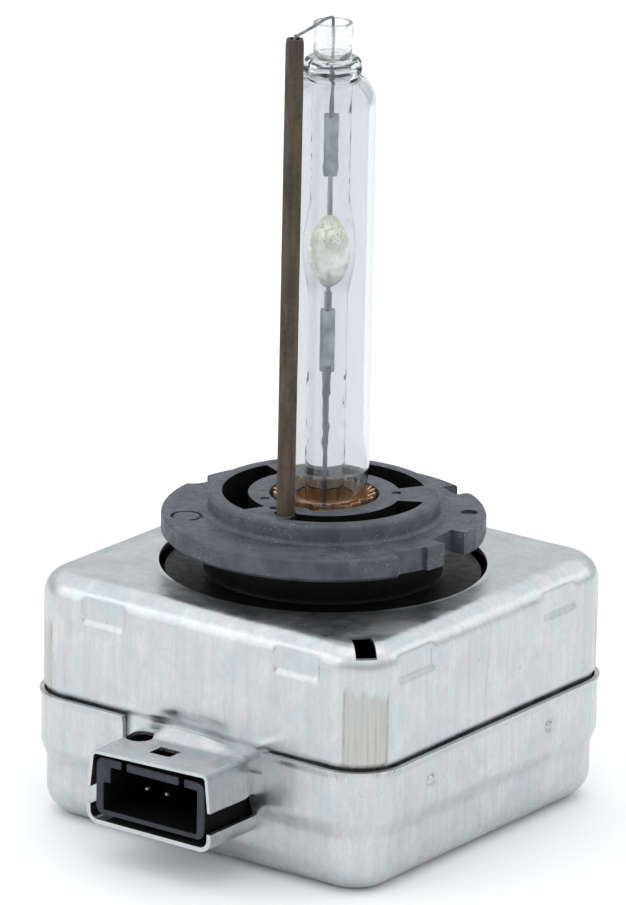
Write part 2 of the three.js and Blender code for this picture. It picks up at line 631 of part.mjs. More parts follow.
// A flat strip swept along the helix with its broad side always facing the core.
function primaryWinding() {
  const path = new StripPath();
  const steps = COIL.stripSteps;
  const [w, t] = [COIL.stripWidth / 2, COIL.stripThick / 2];
  const positions = [];
  for (let i = 0; i <= steps; i += 1) {
    const centre = path.getPoint(i / steps);
    const out = new THREE.Vector3(0, centre.y - COIL.y, centre.z - COIL.z).normalize();
    for (const [side, lift] of [[-w, -t], [w, -t], [w, t], [-w, t]]) {
      positions.push(centre.x + side, centre.y + out.y * lift, centre.z + out.z * lift);
    }
  }
  const index = [0, 2, 1, 0, 3, 2];
  for (let i = 0; i < steps; i += 1) {
    for (let k = 0; k < 4; k += 1) {
      const [a, b] = [i * 4 + k, i * 4 + ((k + 1) % 4)];
      index.push(a, b, b + 4, a, b + 4, a + 4);
    }
  }
  const last = steps * 4;
  index.push(last, last + 1, last + 2, last, last + 2, last + 3);
  const geometry = new THREE.BufferGeometry();
  geometry.setAttribute('position', new THREE.Float32BufferAttribute(positions, 3));
  geometry.setIndex(index);
  return solid(geometry);
}

function sparkGapPiece(points) {
  return lying(turned(points, 28), 'Y', SPARK_GAP.x, SPARK_GAP.y, SPARK_GAP.z);
}

function sparkGapBody() {
  const { bodyR, bodyHalf } = SPARK_GAP;
  return sparkGapPiece([[0, -bodyHalf], [bodyR, -bodyHalf], [bodyR, bodyHalf], [0, bodyHalf]]);
}

function sparkGapCap(side) {
  const near = side * (SPARK_GAP.bodyHalf + GAP);
  const far = near + side * SPARK_GAP.cap;
  const tip = far + side * SPARK_GAP.stud;
  return sparkGapPiece([
    [0, near], [SPARK_GAP.capR, near], [SPARK_GAP.capR, far],
    [SPARK_GAP.studR, far], [SPARK_GAP.studR, tip], [0, tip],
  ]);
}

function capacitor() {
  const { x, y, halfX, halfY, bottom, top, edge } = CAPACITOR;
  return block(roundedRect(halfX, halfY, edge * 1.5), bottom, top, edge, 3).translate([x, y, 0]);
}

function resistor() {
  const { r, half, shoulder: slope, leadR, leadHalf } = RESISTOR;
  const body = turned([
    [0, -leadHalf], [leadR, -leadHalf], [leadR, -half], [r, slope - half],
    [r, half - slope], [leadR, half], [leadR, leadHalf], [0, leadHalf],
  ], 16);
  return lying(body, 'Y', RESISTOR.x, RESISTOR.y, RESISTOR.z);
}

function chokePiece(innerR, outerR, half) {
  const outline = [[innerR, -half], [outerR, -half], [outerR, half], [innerR, half]];
  return lying(turned(outline, 20), 'Y', CHOKE.x, CHOKE.y, CHOKE.z);
}

function insulator() {
  const { r, boreR, bottom, top } = INSULATOR;
  return turned([[boreR, bottom], [r, bottom], [r, top], [boreR, top]], 28);
}

function highVoltageTerminal() {
  const { r, boreR, bottom, top, strapHalf, strapTo, strapThick } = HV;
  const tube = turned([[boreR, bottom], [r, bottom], [r, top], [boreR, top]], 20);
  const strap = box(-strapHalf, strapHalf, (boreR + r) / 2, strapTo, bottom, bottom + strapThick);
  return join(tube, strap);
}

function returnTerminal() {
  const { r, boreR, bottom, top, stripHalf, stripThick, foot } = RETURN;
  const clip = turned([[boreR, bottom], [r, bottom], [r, top], [boreR, top]], 20);
  const strip = box(-stripHalf, stripHalf, r - stripThick, r, foot, bottom + PAST);
  return join(clip, strip).translate([SLEEVE.footX, SLEEVE.footY, 0]);
}

place('igniter_carrier', carrier(), FINISH.carrier);
place('conductor_plate', conductorPlate(), FINISH.brass);
place('transformer_core', coilPiece([
  [0, -COIL.coreHalf], [COIL.coreR, -COIL.coreHalf], [COIL.coreR, COIL.coreHalf], [0, COIL.coreHalf],
]), FINISH.ferrite);
place('winding_bobbin', bobbin(), FINISH.carrier);
for (let chamber = 0; chamber < COIL.chambers; chamber += 1) {
  place(`secondary_winding_${chamber + 1}`, secondaryWinding(chamber), FINISH.winding);
}
place('primary_winding', primaryWinding(), FINISH.copper);
place('spark_gap_body', sparkGapBody(), FINISH.whiteCeramic);
place('spark_gap_cap_front', sparkGapCap(-1), FINISH.metal);
place('spark_gap_cap_rear', sparkGapCap(1), FINISH.metal);
place('ignition_capacitor', capacitor(), FINISH.capacitor);
place('bleeder_resistor', resistor(), FINISH.resistor);
place('choke_core', chokePiece(0, CHOKE.coreR, CHOKE.coreHalf), FINISH.ferrite);
place('choke_winding', chokePiece(CHOKE.coreR + GAP, CHOKE.windingR, CHOKE.windingHalf), FINISH.winding);
place('high_voltage_insulator', insulator(), FINISH.whiteCeramic);
place('high_voltage_terminal', highVoltageTerminal(), FINISH.brass);
place('return_terminal', returnTerminal(), FINISH.brass);

export default lamp;
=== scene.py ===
import math
import random

import bmesh
import bpy
from mathutils import Matrix, Vector, noise


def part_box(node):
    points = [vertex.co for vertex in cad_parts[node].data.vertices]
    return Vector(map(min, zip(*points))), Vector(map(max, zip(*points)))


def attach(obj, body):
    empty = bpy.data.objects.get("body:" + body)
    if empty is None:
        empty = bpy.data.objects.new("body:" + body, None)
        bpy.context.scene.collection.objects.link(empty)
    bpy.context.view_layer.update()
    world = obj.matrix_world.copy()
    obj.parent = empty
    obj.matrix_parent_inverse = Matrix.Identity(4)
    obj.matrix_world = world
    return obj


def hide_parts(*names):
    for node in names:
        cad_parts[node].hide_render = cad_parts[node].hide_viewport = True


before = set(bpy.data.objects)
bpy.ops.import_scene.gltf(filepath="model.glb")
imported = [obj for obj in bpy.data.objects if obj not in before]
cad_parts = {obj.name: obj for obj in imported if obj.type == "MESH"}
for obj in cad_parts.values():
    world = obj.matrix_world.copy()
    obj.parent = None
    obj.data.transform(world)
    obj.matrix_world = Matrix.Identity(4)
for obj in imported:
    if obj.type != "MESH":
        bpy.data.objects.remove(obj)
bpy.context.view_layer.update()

MM = 0.001
TAU = 2 * math.pi
random.seed(7)


def box_mm(node):
    """Lowest and highest corner of a CAD node, in millimetres."""
    low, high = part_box(node)
    return low / MM, high / MM


def placed(name, data):
    """A new object in the scene."""
    piece = bpy.data.objects.new(name, data)
    bpy.context.scene.collection.objects.link(piece)
    return piece


# ------- camera

CAMERA_AZIMUTH = 35.84
CAMERA_ELEVATION = 17.14
CAMERA_DISTANCE = 767.1
CAMERA_ROLL = 1.06
CAMERA_LENS = 309.4
CAMERA_AIM_HEIGHT = 40.0
CAMERA_AIM_SHIFT = (-1.2, -3.356)


def make_camera():
    turn = Matrix.Rotation(math.radians(CAMERA_AZIMUTH), 3, "Z")
    turn @= Matrix.Rotation(math.radians(-CAMERA_ELEVATION), 3, "X")
    right, away, up = turn.col
    middle = Vector((0, 0, CAMERA_AIM_HEIGHT))
    place = middle - away * CAMERA_DISTANCE
    aim = middle + right * CAMERA_AIM_SHIFT[0] + up * CAMERA_AIM_SHIFT[1]
    facing = (aim - place).to_track_quat("-Z", "Y").to_matrix().to_4x4()
    roll = Matrix.Rotation(math.radians(CAMERA_ROLL), 4, "Z")
    data = bpy.data.cameras.new("camera")
    data.sensor_fit = "VERTICAL"
    data.sensor_height = 36
    data.lens = CAMERA_LENS
    data.clip_start = 0.01
    data.clip_end = 20
    camera = placed("camera", data)
    camera.matrix_world = Matrix.Translation(place * MM) @ facing @ roll
    bpy.context.scene.camera = camera


# ------- light and floor

SKY = ((0.0, 0.52), (0.36, 0.56), (0.54, 0.93), (0.82, 0.93), (0.92, 0.66), (1.0, 0.6))
SKY_TINT = (0.98, 1.0, 1.015)
SKY_STRENGTH = 1.32
LIGHT_AIM = Vector((0, 0, 0.03))
FLOOR_HALF = 4.0
FLOOR_DROP = 0.00005


def area_light(name, place, size, power):
    """Soft rectangular light at a place in metres, aimed at the lamp."""
    data = bpy.data.lights.new(name, "AREA")
    data.shape = "RECTANGLE"
    data.size, data.size_y = size
    data.energy = power
    turn = (LIGHT_AIM - Vector(place)).to_track_quat("-Z", "Y").to_matrix().to_4x4()
    placed(name, data).matrix_world = Matrix.Translation(place) @ turn


def make_lights():
    area_light("light_left", (-0.39, -0.55, 0.3), (0.6, 0.5), 0.8)
    area_light("light_right", (0.42, 0.5, 0.3), (0.42, 0.3), 0.3)
    area_light("light_top", (0.0, 0.0, 0.75), (0.8, 0.8), 1.5)
    world = bpy.data.worlds.new("studio")
    bpy.context.scene.world = world
    world.use_nodes = True
    nodes, links = world.node_tree.nodes, world.node_tree.links
    background = nodes["Background"]
    background.inputs["Strength"].default_value = SKY_STRENGTH
    # a light tent: grey low down, a bright band around it, and a greyer roof
    coordinate = nodes.new("ShaderNodeTexCoord")
    split = nodes.new("ShaderNodeSeparateXYZ")
    ramp = nodes.new("ShaderNodeValToRGB")
    elements = ramp.color_ramp.elements
    while len(elements) < len(SKY):
        elements.new(0.5)
    for element, (position, shade) in zip(elements, SKY):
        element.position = position
        element.color = (*scaled(SKY_TINT, shade), 1)
    links.new(coordinate.outputs["Generated"], split.inputs[0])
    links.new(split.outputs["Z"], ramp.inputs[0])
    links.new(ramp.outputs[0], background.inputs["Color"])
    view = bpy.context.scene.view_settings
    view.view_transform = "Standard"
    view.look = "None"


def make_floor():
    mesh = bpy.data.meshes.new("floor")
    corners = [(x * FLOOR_HALF, y * FLOOR_HALF, 0) for x, y in ((-1, -1), (1, -1), (1, 1), (-1, 1))]
    mesh.from_pydata(corners, [], [(0, 1, 2, 3)])
    Finish("floor", (0.93, 0.93, 0.93), 0.7).noisy_roughness(40, 0.65, 0.8)
    mesh.materials.append(FINISHES["floor"])
    floor = placed("floor", mesh)
    floor.location.z = -FLOOR_DROP


# ------- finishes

FINISHES = {}


def scaled(colour, share):
    return tuple(value * share for value in colour)


class Finish:
    """A node material that is built up in steps around one Principled shader."""

    def __init__(self, name, colour, roughness, metallic=0.0):
        material = bpy.data.materials.new(name)
        material.use_nodes = True
        FINISHES[name] = material
        self.tree = material.node_tree
        self.shader = self.tree.nodes["Principled BSDF"]
        self.coordinates = self.tree.nodes.new("ShaderNodeTexCoord")
        self.bump_normal = None
        self.set("Base Color", colour)
        self.set("Roughness", roughness)
        self.set("Metallic", metallic)

    def link(self, start, end):
        self.tree.links.new(start, end)

    def put(self, value, slot):
        """Gives a socket a colour, a number or the output of another node."""
        if isinstance(value, tuple):
            slot.default_value = (*value, 1)
        elif isinstance(value, (int, float)):
            slot.default_value = value
        else:
            self.link(value, slot)

    def set(self, socket, value):
        self.put(value, self.shader.inputs[socket])

    def new(self, kind, **values):
        node = self.tree.nodes.new(kind)
        for key, value in values.items():
            node.inputs[key.replace("_", " ")].default_value = value
        return node

    def axis(self, name):
        """X, Y or Z of the object coordinates, in metres."""
        node = self.new("ShaderNodeSeparateXYZ")
        self.link(self.coordinates.outputs["Object"], node.inputs[0])
        return node.outputs[name]

    def mapping(self, stretch=(1, 1, 1), turn=(0, 0, 0)):
        """Object coordinates in millimetres, stretched: a small value draws the pattern out."""
        node = self.new("ShaderNodeMapping")
        node.inputs["Scale"].default_value = tuple(value / MM for value in stretch)
        node.inputs["Rotation"].default_value = tuple(math.radians(value) for value in turn)
        self.link(self.coordinates.outputs["Object"], node.inputs["Vector"])
        return node.outputs[0]

    def noise(self, scale, stretch=(1, 1, 1), detail=4.0, turn=(0, 0, 0), distortion=0.0):
        node = self.new("ShaderNodeTexNoise", Scale=scale, Detail=detail, Distortion=distortion)
        self.link(self.mapping(stretch, turn), node.inputs["Vector"])
        return node.outputs["Fac"]

    def ramp(self, value, low, high, colours=((0, 0, 0), (1, 1, 1))):
        node = self.new("ShaderNodeValToRGB")
        for element, position, colour in zip(node.color_ramp.elements, (low, high), colours):
            element.position = position
            element.color = (*colour, 1)
        self.link(value, node.inputs[0])
        return node.outputs[0]

    def remap(self, value, low, high, to_low, to_high):
        node = self.new("ShaderNodeMapRange", From_Min=low, From_Max=high, To_Min=to_low, To_Max=to_high)
        self.link(value, node.inputs["Value"])
        return node.outputs[0]

    def fade(self, value, low, high, first=0.0, last=1.0):
        """Goes from first to last between two measures in millimetres."""
        return self.remap(value, low * MM, high * MM, first, last)

    def maths(self, operation, first, second):
        node = self.new("ShaderNodeMath")
        node.operation = operation
        self.put(first, node.inputs[0])
        self.put(second, node.inputs[1])
        return node.outputs[0]

    def times(self, first, second):
        return self.maths("MULTIPLY", first, second)

    def mix(self, factor, first, second):
        node = self.new("ShaderNodeMix")
        node.data_type = "RGBA"
        for slot, value in ((0, factor), (6, first), (7, second)):
            self.put(value, node.inputs[slot])
        return node.outputs[2]

    def varied_colour(self, scale, darker, lighter, **kind):
        """Base colour that drifts between two shades."""
        self.set("Base Color", self.ramp(self.noise(scale, **kind), 0.35, 0.65, (darker, lighter)))

    def noisy_roughness(self, scale, low, high, **kind):
        self.set("Roughness", self.remap(self.noise(scale, **kind), 0.3, 0.7, low, high))

    def bump(self, height, distance):
        """Adds a bump layer; distance is its height in millimetres."""
        node = self.new("ShaderNodeBump", Strength=1.0, Distance=distance * MM)
        self.link(height, node.inputs["Height"])
        if self.bump_normal is not None:
            self.link(self.bump_normal, node.inputs["Normal"])
        self.bump_normal = node.outputs[0]
        self.set("Normal", self.bump_normal)

    def scratches(self, scale, stretch, turn):
        """Thin lines: 1 on a scratch, 0 elsewhere."""
        return self.ramp(self.noise(scale, stretch, 2.0, turn), 0.7, 0.73)


def aluminium_finish():
    """Drawn aluminium sheet: faint draw streaks, cloudy patches, fine scratches, galled corners."""
    look = Finish("aluminium", (0.64, 0.65, 0.66), 0.3, 1.0)
    streaks = look.noise(1.5, (1, 1, 0.06), 5.0)
    clouds = look.noise(0.22, (1, 1, 1), 7.0, distortion=1.2)
    grain = look.noise(3.2, (1, 1, 0.5), 4.0)
    tone = look.ramp(clouds, 0.36, 0.64, ((0.463, 0.508, 0.517), (0.645, 0.66, 0.656)))
    hue = look.ramp(look.noise(0.33, detail=3.0), 0.42, 0.58, ((0.68, 0.62, 0.64), (0.57, 0.65, 0.655)))
    tinted = look.mix(0.4, tone, hue)
    grainy = look.mix(look.remap(grain, 0.35, 0.65, 0.0, 0.3), tinted, (0.47, 0.485, 0.5))
    streaked = look.mix(look.remap(streaks, 0.38, 0.62, 0.0, 0.3), grainy, (0.44, 0.455, 0.47))
    scratches = look.scratches(1.3, (1, 1, 0.1), (20, 14, 35))
    hairs = look.scratches(0.8, (0.06, 1, 1), (8, 38, 20))
    marks = look.maths("MAXIMUM", scratches, hairs)
    scored = look.mix(look.times(marks, 0.22), streaked, (0.27, 0.29, 0.31))
    patch, lines = galling(look)
    rubbed = look.mix(look.times(patch, 0.75), scored, (0.475, 0.468, 0.445))
    look.set("Base Color", look.mix(lines, rubbed, (0.27, 0.26, 0.24)))
    rough = look.remap(clouds, 0.3, 0.7, 0.26, 0.37)
    fine = look.remap(grain, 0.3, 0.7, -0.02, 0.03)
    look.set("Roughness", look.maths("ADD", rough, fine))
    look.bump(streaks, 0.012)
    look.bump(grain, 0.0025)
    look.bump(look.noise(0.3, (1, 1, 0.6), 2.0), 0.09)
    look.bump(marks, -0.003)


def galling(look):
    """(patch, lines): where deep drawing rubbed the upright corners, and its dark drag lines."""
    reach = look.maths("ADD", *(look.maths("ABSOLUTE", look.axis(name), 0) for name in "XY"))
    outermost = 2 * (CAN_HALF - TOP_CORNER) + math.sqrt(2) * TOP_CORNER
    corner = look.fade(reach, outermost - 0.8, outermost - 0.7)
    margin = look.fade(reach, outermost - 0.62, outermost - 0.52, 1, 0)
    height = look.remap(look.noise(1.2, (1, 1, 0.05), 3.0), 0.3, 0.7, -0.8, 0.8)
    level = look.maths("ADD", look.axis("Z"), look.times(height, MM))
    inside = look.times(look.fade(level, 12.4, 13.2), look.fade(level, 20.2, 21.0, 1, 0))
    patch = look.times(corner, inside)
    drags = look.times(look.ramp(look.noise(5.5, (1, 1, 0.02), 3.0), 0.5, 0.68), 0.4)
    ragged = look.remap(look.noise(3.0, (1, 1, 0.08)), 0.35, 0.6, 0.0, 0.75)
    lines = look.maths("MAXIMUM", drags, look.times(margin, ragged))
    return patch, look.times(patch, lines)


def ring_finish():
    """Glass-filled plastic: dark grey, with pale specks where fibres reach the surface."""
    look = Finish("ring_plastic", (0.075, 0.082, 0.092), 0.5)
    look.set("Specular IOR Level", 0.62)
    base = look.ramp(look.noise(0.5, detail=6.0), 0.35, 0.68, ((0.031, 0.037, 0.048), (0.068, 0.075, 0.09)))
    specks = look.ramp(look.noise(6.5, detail=1.0), 0.7, 0.74)
    patches = look.ramp(look.noise(0.35, detail=2.0), 0.42, 0.62)
    look.set("Base Color", look.mix(look.times(specks, patches), base, (0.52, 0.53, 0.53)))
    look.noisy_roughness(1.4, 0.42, 0.62)
    look.bump(look.noise(4.0, detail=5.0), 0.03)
    look.bump(look.noise(12.0, detail=2.0), 0.012)


def plastic_finish(name, colour, rough_low, rough_high, grain, specular=0.5):
    look = Finish(name, colour, rough_low)
    look.varied_colour(0.7, scaled(colour, 0.8), scaled(colour, 1.25))
    look.set("Specular IOR Level", specular)
    look.noisy_roughness(1.1, rough_low, rough_high)
    look.bump(look.noise(5.0, detail=3.0), grain)


def metal_finish(name, darker, lighter, rough_low, rough_high, stretch=(1, 1, 0.1), grain=0.008):
    look = Finish(name, lighter, rough_low, 1.0)
    look.varied_colour(1.3, darker, lighter, stretch=stretch)
    look.noisy_roughness(2.0, rough_low, rough_high, stretch=stretch)
    look.bump(look.noise(8.0, stretch, 3.0), grain)


def ceramic_finish():
    """Unglazed brown ceramic: darker towards the top, with lengthwise drag marks."""
    look = Finish("ceramic", (0.16, 0.105, 0.072), 0.75)
    low, high = box_mm("ceramic_sleeve")
    height = look.fade(look.axis("Z"), low.z, high.z)
    tone = look.ramp(height, 0.0, 1.0, ((0.09, 0.063, 0.039), (0.07, 0.052, 0.032)))
    grain = look.ramp(look.noise(1.6, (1, 1, 0.12), 6.0), 0.36, 0.64)
    look.set("Base Color", look.mix(grain, (0.036, 0.026, 0.018), tone))
    look.noisy_roughness(2.0, 0.6, 0.9)
    look.bump(look.noise(3.0, (1, 1, 0.18), 5.0), 0.05)


def quartz_finish(name, clear, edge, reach, milky=None):
    """Fused quartz: a faint tint face on, and painted shade where it is seen edge on, darkening the colour
    towards the outline.

    milky is a (from, to) height in millimetres over which it turns cloudy.
    """
    look = Finish(name, clear, 0.0)
    look.set("IOR", 1.458)
    facing = look.new("ShaderNodeLayerWeight", Blend=0.5).outputs["Facing"]
    # painted shade: the rim mask darkens the base colour where the glass is seen edge on
    rim = look.remap(facing, reach, 1.0, 0.0, 1.0)
    waves = look.remap(look.noise(0.5, (1, 1, 0.2), 3.0), 0.3, 0.7, 0.85, 1.15)
    look.set("Base Color", look.mix(look.times(rim, waves), clear, edge))
    look.set("Transmission Weight", 1.0)
    if milky is not None:
        cloud = look.remap(look.noise(1.6, detail=5.0), 0.3, 0.7, 0.05, 0.55)
        clouded = look.times(look.fade(look.axis("Z"), *milky), cloud)
        look.set("Transmission Weight", look.remap(clouded, 0.0, 1.0, 1.0, 0.35))
    look.noisy_roughness(0.3, 0.0, 0.02)
    look.bump(look.noise(0.22, (1, 1, 0.35), 1.0), 0.02)


def haze_finish():
    """The milky film, flecked yellow-green, that condensed salts leave on the wall of the arc chamber."""
    look = Finish("salt_haze", (0.8, 0.8, 0.74), 0.6)
    look.set("Specular IOR Level", 0.1)
    height = look.axis("Z")
    upper = look.fade(height, VESSEL_CENTRE - 1.0, VESSEL_CENTRE + 1.0)
    low = look.fade(height, VESSEL_CENTRE - 3.6, VESSEL_CENTRE - 2.2, 1.0, 0.0)
    pale = look.ramp(look.noise(0.8, detail=3.0), 0.38, 0.62, ((0.64, 0.66, 0.63), (0.97, 0.97, 0.93)))
    green = look.times(upper, look.ramp(look.noise(3.6, detail=2.0), 0.55, 0.61))
    flecked = look.mix(green, pale, (0.66, 0.71, 0.3))
    dark = look.times(upper, look.ramp(look.noise(4.2, detail=1.0), 0.66, 0.7))
    spotted = look.mix(dark, flecked, (0.12, 0.12, 0.09))
    # the film turns darker and greyer towards the bottom
    darker_at_bottom = look.mix(look.times(low, 0.55), spotted, (0.24, 0.22, 0.2))
    look.set("Base Color", darker_at_bottom)
    # painted light: the film glows with its own colours, standing in for the daylight let in through the quartz
    look.set("Emission Color", darker_at_bottom)
    look.set("Emission Strength", 0.3)
    film = look.remap(look.noise(0.6, detail=3.0), 0.38, 0.62, 0.3, 0.85)
    look.set("Alpha", look.times(film, look.remap(low, 0.0, 1.0, 1.0, 0.55)))
    look.noisy_roughness(4.0, 0.45, 0.7)


def pin_finish():
    """Tinned pin: painted shade turns it near black along its length, where it lies deep in the socket; the
    coined tip keeps a lighter metal colour.
    """
    look = Finish("pin_metal", (0.5, 0.5, 0.5), 0.3, 1.0)
    tip = box_mm("contact_pin_left")[0].y
    shaft = look.fade(look.axis("Y"), tip + 0.1, tip + 0.6)
    # painted shade: the shaft, deep in the dark socket, is coloured near black
    shaft_painted_shade = look.ramp(look.noise(3.0, detail=3.0), 0.3, 0.7, ((0.018, 0.018, 0.02), (0.04, 0.04, 0.044)))
    look.set("Base Color", look.mix(shaft, (0.3, 0.3, 0.31), shaft_painted_shade))
    look.noisy_roughness(2.0, 0.25, 0.45)


def salt_finish():
    look = Finish("salt", (0.8, 0.83, 0.55), 0.35)
    look.varied_colour(3.0, (0.5, 0.56, 0.14), (0.9, 0.92, 0.62))
    look.set("Transmission Weight", 0.25)
    look.noisy_roughness(4.0, 0.2, 0.5)
    look.bump(look.noise(6.0, detail=4.0), 0.05)


def winding_finish():
    """Enamelled wire laid side by side around the X axis."""
    colour = (0.62, 0.24, 0.09)
    look = Finish("winding", colour, 0.3, 1.0)
    wave = look.new("ShaderNodeTexWave", Scale=1.6, Distortion=0.3)
    wave.bands_direction = "X"
    look.link(look.mapping(), wave.inputs["Vector"])
    turns = wave.outputs["Fac"]
    # painted shade: the colour darkens in the grooves between the turns
    look.set("Base Color", look.ramp(turns, 0.1, 0.7, (scaled(colour, 0.45), colour)))
    look.noisy_roughness(2.0, 0.25, 0.4)
    look.bump(turns, 0.08)


# colour, roughness from and to, grain in millimetres, specular level
PLASTICS = {
    "black_plastic": ((0.004, 0.0037, 0.004), 0.34, 0.5, 0.02, 0.15),
    "socket_plastic": ((0.03, 0.032, 0.042), 0.45, 0.6, 0.012, 0.25),
    # painted shade: near-black plastic put on faces that lie in deep shade
    "painted_shade_plastic": ((0.0035, 0.0035, 0.004), 0.6, 0.8, 0.01, 0.1),
    "carrier_plastic": ((0.6, 0.55, 0.46), 0.45, 0.6, 0.02),
    "capacitor_case": ((0.035, 0.09, 0.21), 0.3, 0.45, 0.03),
    "white_ceramic": ((0.75, 0.73, 0.68), 0.35, 0.55, 0.01),
    "resistor_body": ((0.2, 0.34, 0.38), 0.3, 0.5, 0.01),
    "ferrite": ((0.028, 0.028, 0.032), 0.5, 0.7, 0.03),
}
# darker and lighter colour, roughness from and to, stretch of the pattern, grain in millimetres
METALS = {
    "copper": ((0.55, 0.3, 0.16), (0.92, 0.68, 0.46), 0.3, 0.48),
    "brass": ((0.55, 0.38, 0.14), (0.8, 0.62, 0.3), 0.25, 0.4),
    "lead_metal": ((0.22, 0.23, 0.24), (0.5, 0.52, 0.53), 0.28, 0.45),
    "wire_metal": ((0.13, 0.135, 0.14), (0.28, 0.29, 0.3), 0.28, 0.45),
    "foil": ((0.3, 0.34, 0.36), (0.56, 0.62, 0.65), 0.34, 0.5, (1, 1, 0.4), 0.04),
}


def make_finishes():
    for name, values in PLASTICS.items():
        plastic_finish(name, *values)
    for name, values in METALS.items():
        metal_finish(name, *values)
    quartz_finish("quartz", (0.77, 0.794, 0.808), (0.5, 0.54, 0.57), 0.55)
    quartz_finish("burner_quartz", (0.965, 0.97, 0.972), (0.6, 0.63, 0.65), 0.6, (75.8, 77.6))
    aluminium_finish()
    ring_finish()
    ceramic_finish()
    haze_finish()
    pin_finish()
    salt_finish()
    winding_finish()


# ------- mesh helpers


def new_piece(name, points, faces):
    """A mesh object from points in millimetres."""
    mesh = bpy.data.meshes.new(name)
    mesh.from_pydata([tuple(value * MM for value in point) for point in points], [], faces)
    mesh.validate()
    piece = placed(name, mesh)
    outward(piece)
    return piece


def outward(piece):
    work = bmesh.new()
    work.from_mesh(piece.data)
    bmesh.ops.recalc_face_normals(work, faces=work.faces)
    work.to_mesh(piece.data)
    work.free()


def loft(name, rings, closed=False, capped=True):
    """Skin over rings of equally many points; closed joins the last ring to the first."""
    count = len(rings[0])
    points = [point for ring in rings for point in ring]
    faces = []
    spans = len(rings) if closed else len(rings) - 1
    for i in range(spans):
        a, b = i * count, ((i + 1) % len(rings)) * count
        for k in range(count):
            m = (k + 1) % count
            faces.append((a + k, a + m, b + m, b + k))
    if capped and not closed:
        faces.append(tuple(range(count)))
        faces.append(tuple(range(len(points) - 1, len(points) - 1 - count, -1)))
    return new_piece(name, points, faces)


def spaced(start, end, steps):
    """Evenly spaced values from start to end."""
    return [start + (end - start) * i / steps for i in range(steps + 1)]


def arc(centre, radius, start, end, steps):
    """Points on an arc, angles in degrees."""
    turns = [math.radians(turn) for turn in spaced(start, end, steps)]
    return [(centre[0] + radius * math.cos(t), centre[1] + radius * math.sin(t)) for t in turns]


def circle(radius, z, sides):
    turns = [TAU * k / sides for k in range(sides)]
    return [(radius * math.cos(t), radius * math.sin(t), z) for t in turns]


def lathe(name, profile, sides=128, closed=True):
    """Solid of revolution about Z from (radius, z) points."""
    return loft(name, [circle(r, z, sides) for r, z in profile], closed)


def prism(name, outline, low, high):
    """Upright block of an outline of (x, y) points."""
    return loft(name, [[(x, y, z) for x, y in outline] for z in (low, high)])


# heights below and above all that the upright cutters cut
CUT_LOW = 20
CUT_HIGH = 40


def cutter(outline, low=CUT_LOW, high=CUT_HIGH):
    return prism("cutter", outline, low, high)


def block(low, high):
    """Cutter between two corners."""
    (x0, y0, z0), (x1, y1, z1) = low, high
    return cutter([(x0, y0), (x1, y0), (x1, y1), (x0, y1)], z0, z1)


def polar_block(angle, inner, outer, half, low=CUT_LOW):
    """Cutter lying along a radius at an angle in degrees."""
    piece = block((inner, -half, low), (outer, half, CUT_HIGH))
    piece.data.transform(Matrix.Rotation(math.radians(angle), 4, "Z"))
    return piece


def hole(x, y, radius, low=CUT_LOW, high=CUT_HIGH, sides=40):
    return cutter(arc((x, y), radius, 0, 360 - 360 / sides, sides - 1), low, high)


def rough(x, y, z, scale=1.0):
    """Smooth noise about 0 at a point."""
    return noise.noise(Vector((x, y, z)) * scale)


def settled(piece):
    """Applies the piece's modifiers to its mesh."""
    depsgraph = bpy.context.evaluated_depsgraph_get()
    mesh = bpy.data.meshes.new_from_object(piece.evaluated_get(depsgraph), depsgraph=depsgraph)
    piece.modifiers.clear()
    old, piece.data = piece.data, mesh
    bpy.data.meshes.remove(old)
    mesh.name = piece.name
    return piece


def boolean(piece, others, operation="DIFFERENCE"):
    """Cuts other objects from a piece, or joins them to it, and deletes them."""
    for other in others:
        modifier = piece.modifiers.new("boolean", "BOOLEAN")
        modifier.operation = operation
        modifier.solver = "EXACT"
        modifier.object = other
    settled(piece)
    for other in others:
        bpy.data.objects.remove(other)


def rounded(piece, width, segments=3, angle=32):
    """Rounds the sharp edges; width is in millimetres."""
    modifier = piece.modifiers.new("bevel", "BEVEL")
    modifier.width = width * MM
    modifier.segments = segments
    modifier.limit_method = "ANGLE"
    modifier.angle_limit = math.radians(angle)
    modifier.use_clamp_overlap = True
    modifier.miter_outer = "MITER_ARC"
    return settled(piece)


def show(piece, slot, *nodes, finish=None, angle=35):
    """The smoothed piece rides on the lamp, takes its slot's finish and stands for its CAD nodes."""
    piece.data.shade_smooth()
    piece.data.set_sharp_from_angle(angle=math.radians(angle))
    piece.modifiers.new("normals", "WEIGHTED_NORMAL").keep_sharp = True
    piece.data.materials.clear()
    piece.data.materials.append(FINISHES[finish or slot])
    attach(piece, "root")
    if nodes:
        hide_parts(*nodes)


def paint(piece, finish, chosen):
    """Gives a second finish to the faces whose centre, in millimetres, and normal are chosen."""
    piece.data.materials.append(FINISHES[finish])
    for face in piece.data.polygons:
        if chosen(face.center / MM, face.normal):
            face.material_index = 1


def blend_step(value, low, high):
    """Smooth step from 0 at low to 1 at high."""
    t = min(1.0, max(0.0, (value - low) / (high - low)))
    return t * t * (3 - 2 * t)


def window(value, low, high, soft):
    """1 between low and high, falling to 0 over the soft distance outside them."""
    return blend_step(value, low - soft, low) * (1 - blend_step(value, high, high + soft))


# ------- housing

PERIMETER_STEP = 0.27
SHEET = 0.5
TOP_EDGE = 2.4
TOP_CORNER = 4.95
OPENING_R = 16.3
SEAM = 13.3
JOGGLE = 0.36
PAD_DEPTH = 0.3
PAD_BOTTOM = 21.1
PAD_SPANS = {
    "front": ((-13.9, -8.6), (9.6, 14.9)),
    "right": ((-16.4, -10.3), (8.2, 13.8)),
    "back": ((-14.4, -9.1), (9.1, 14.4)),
    "left": ((-14.4, -9.1), (9.1, 14.4)),
}

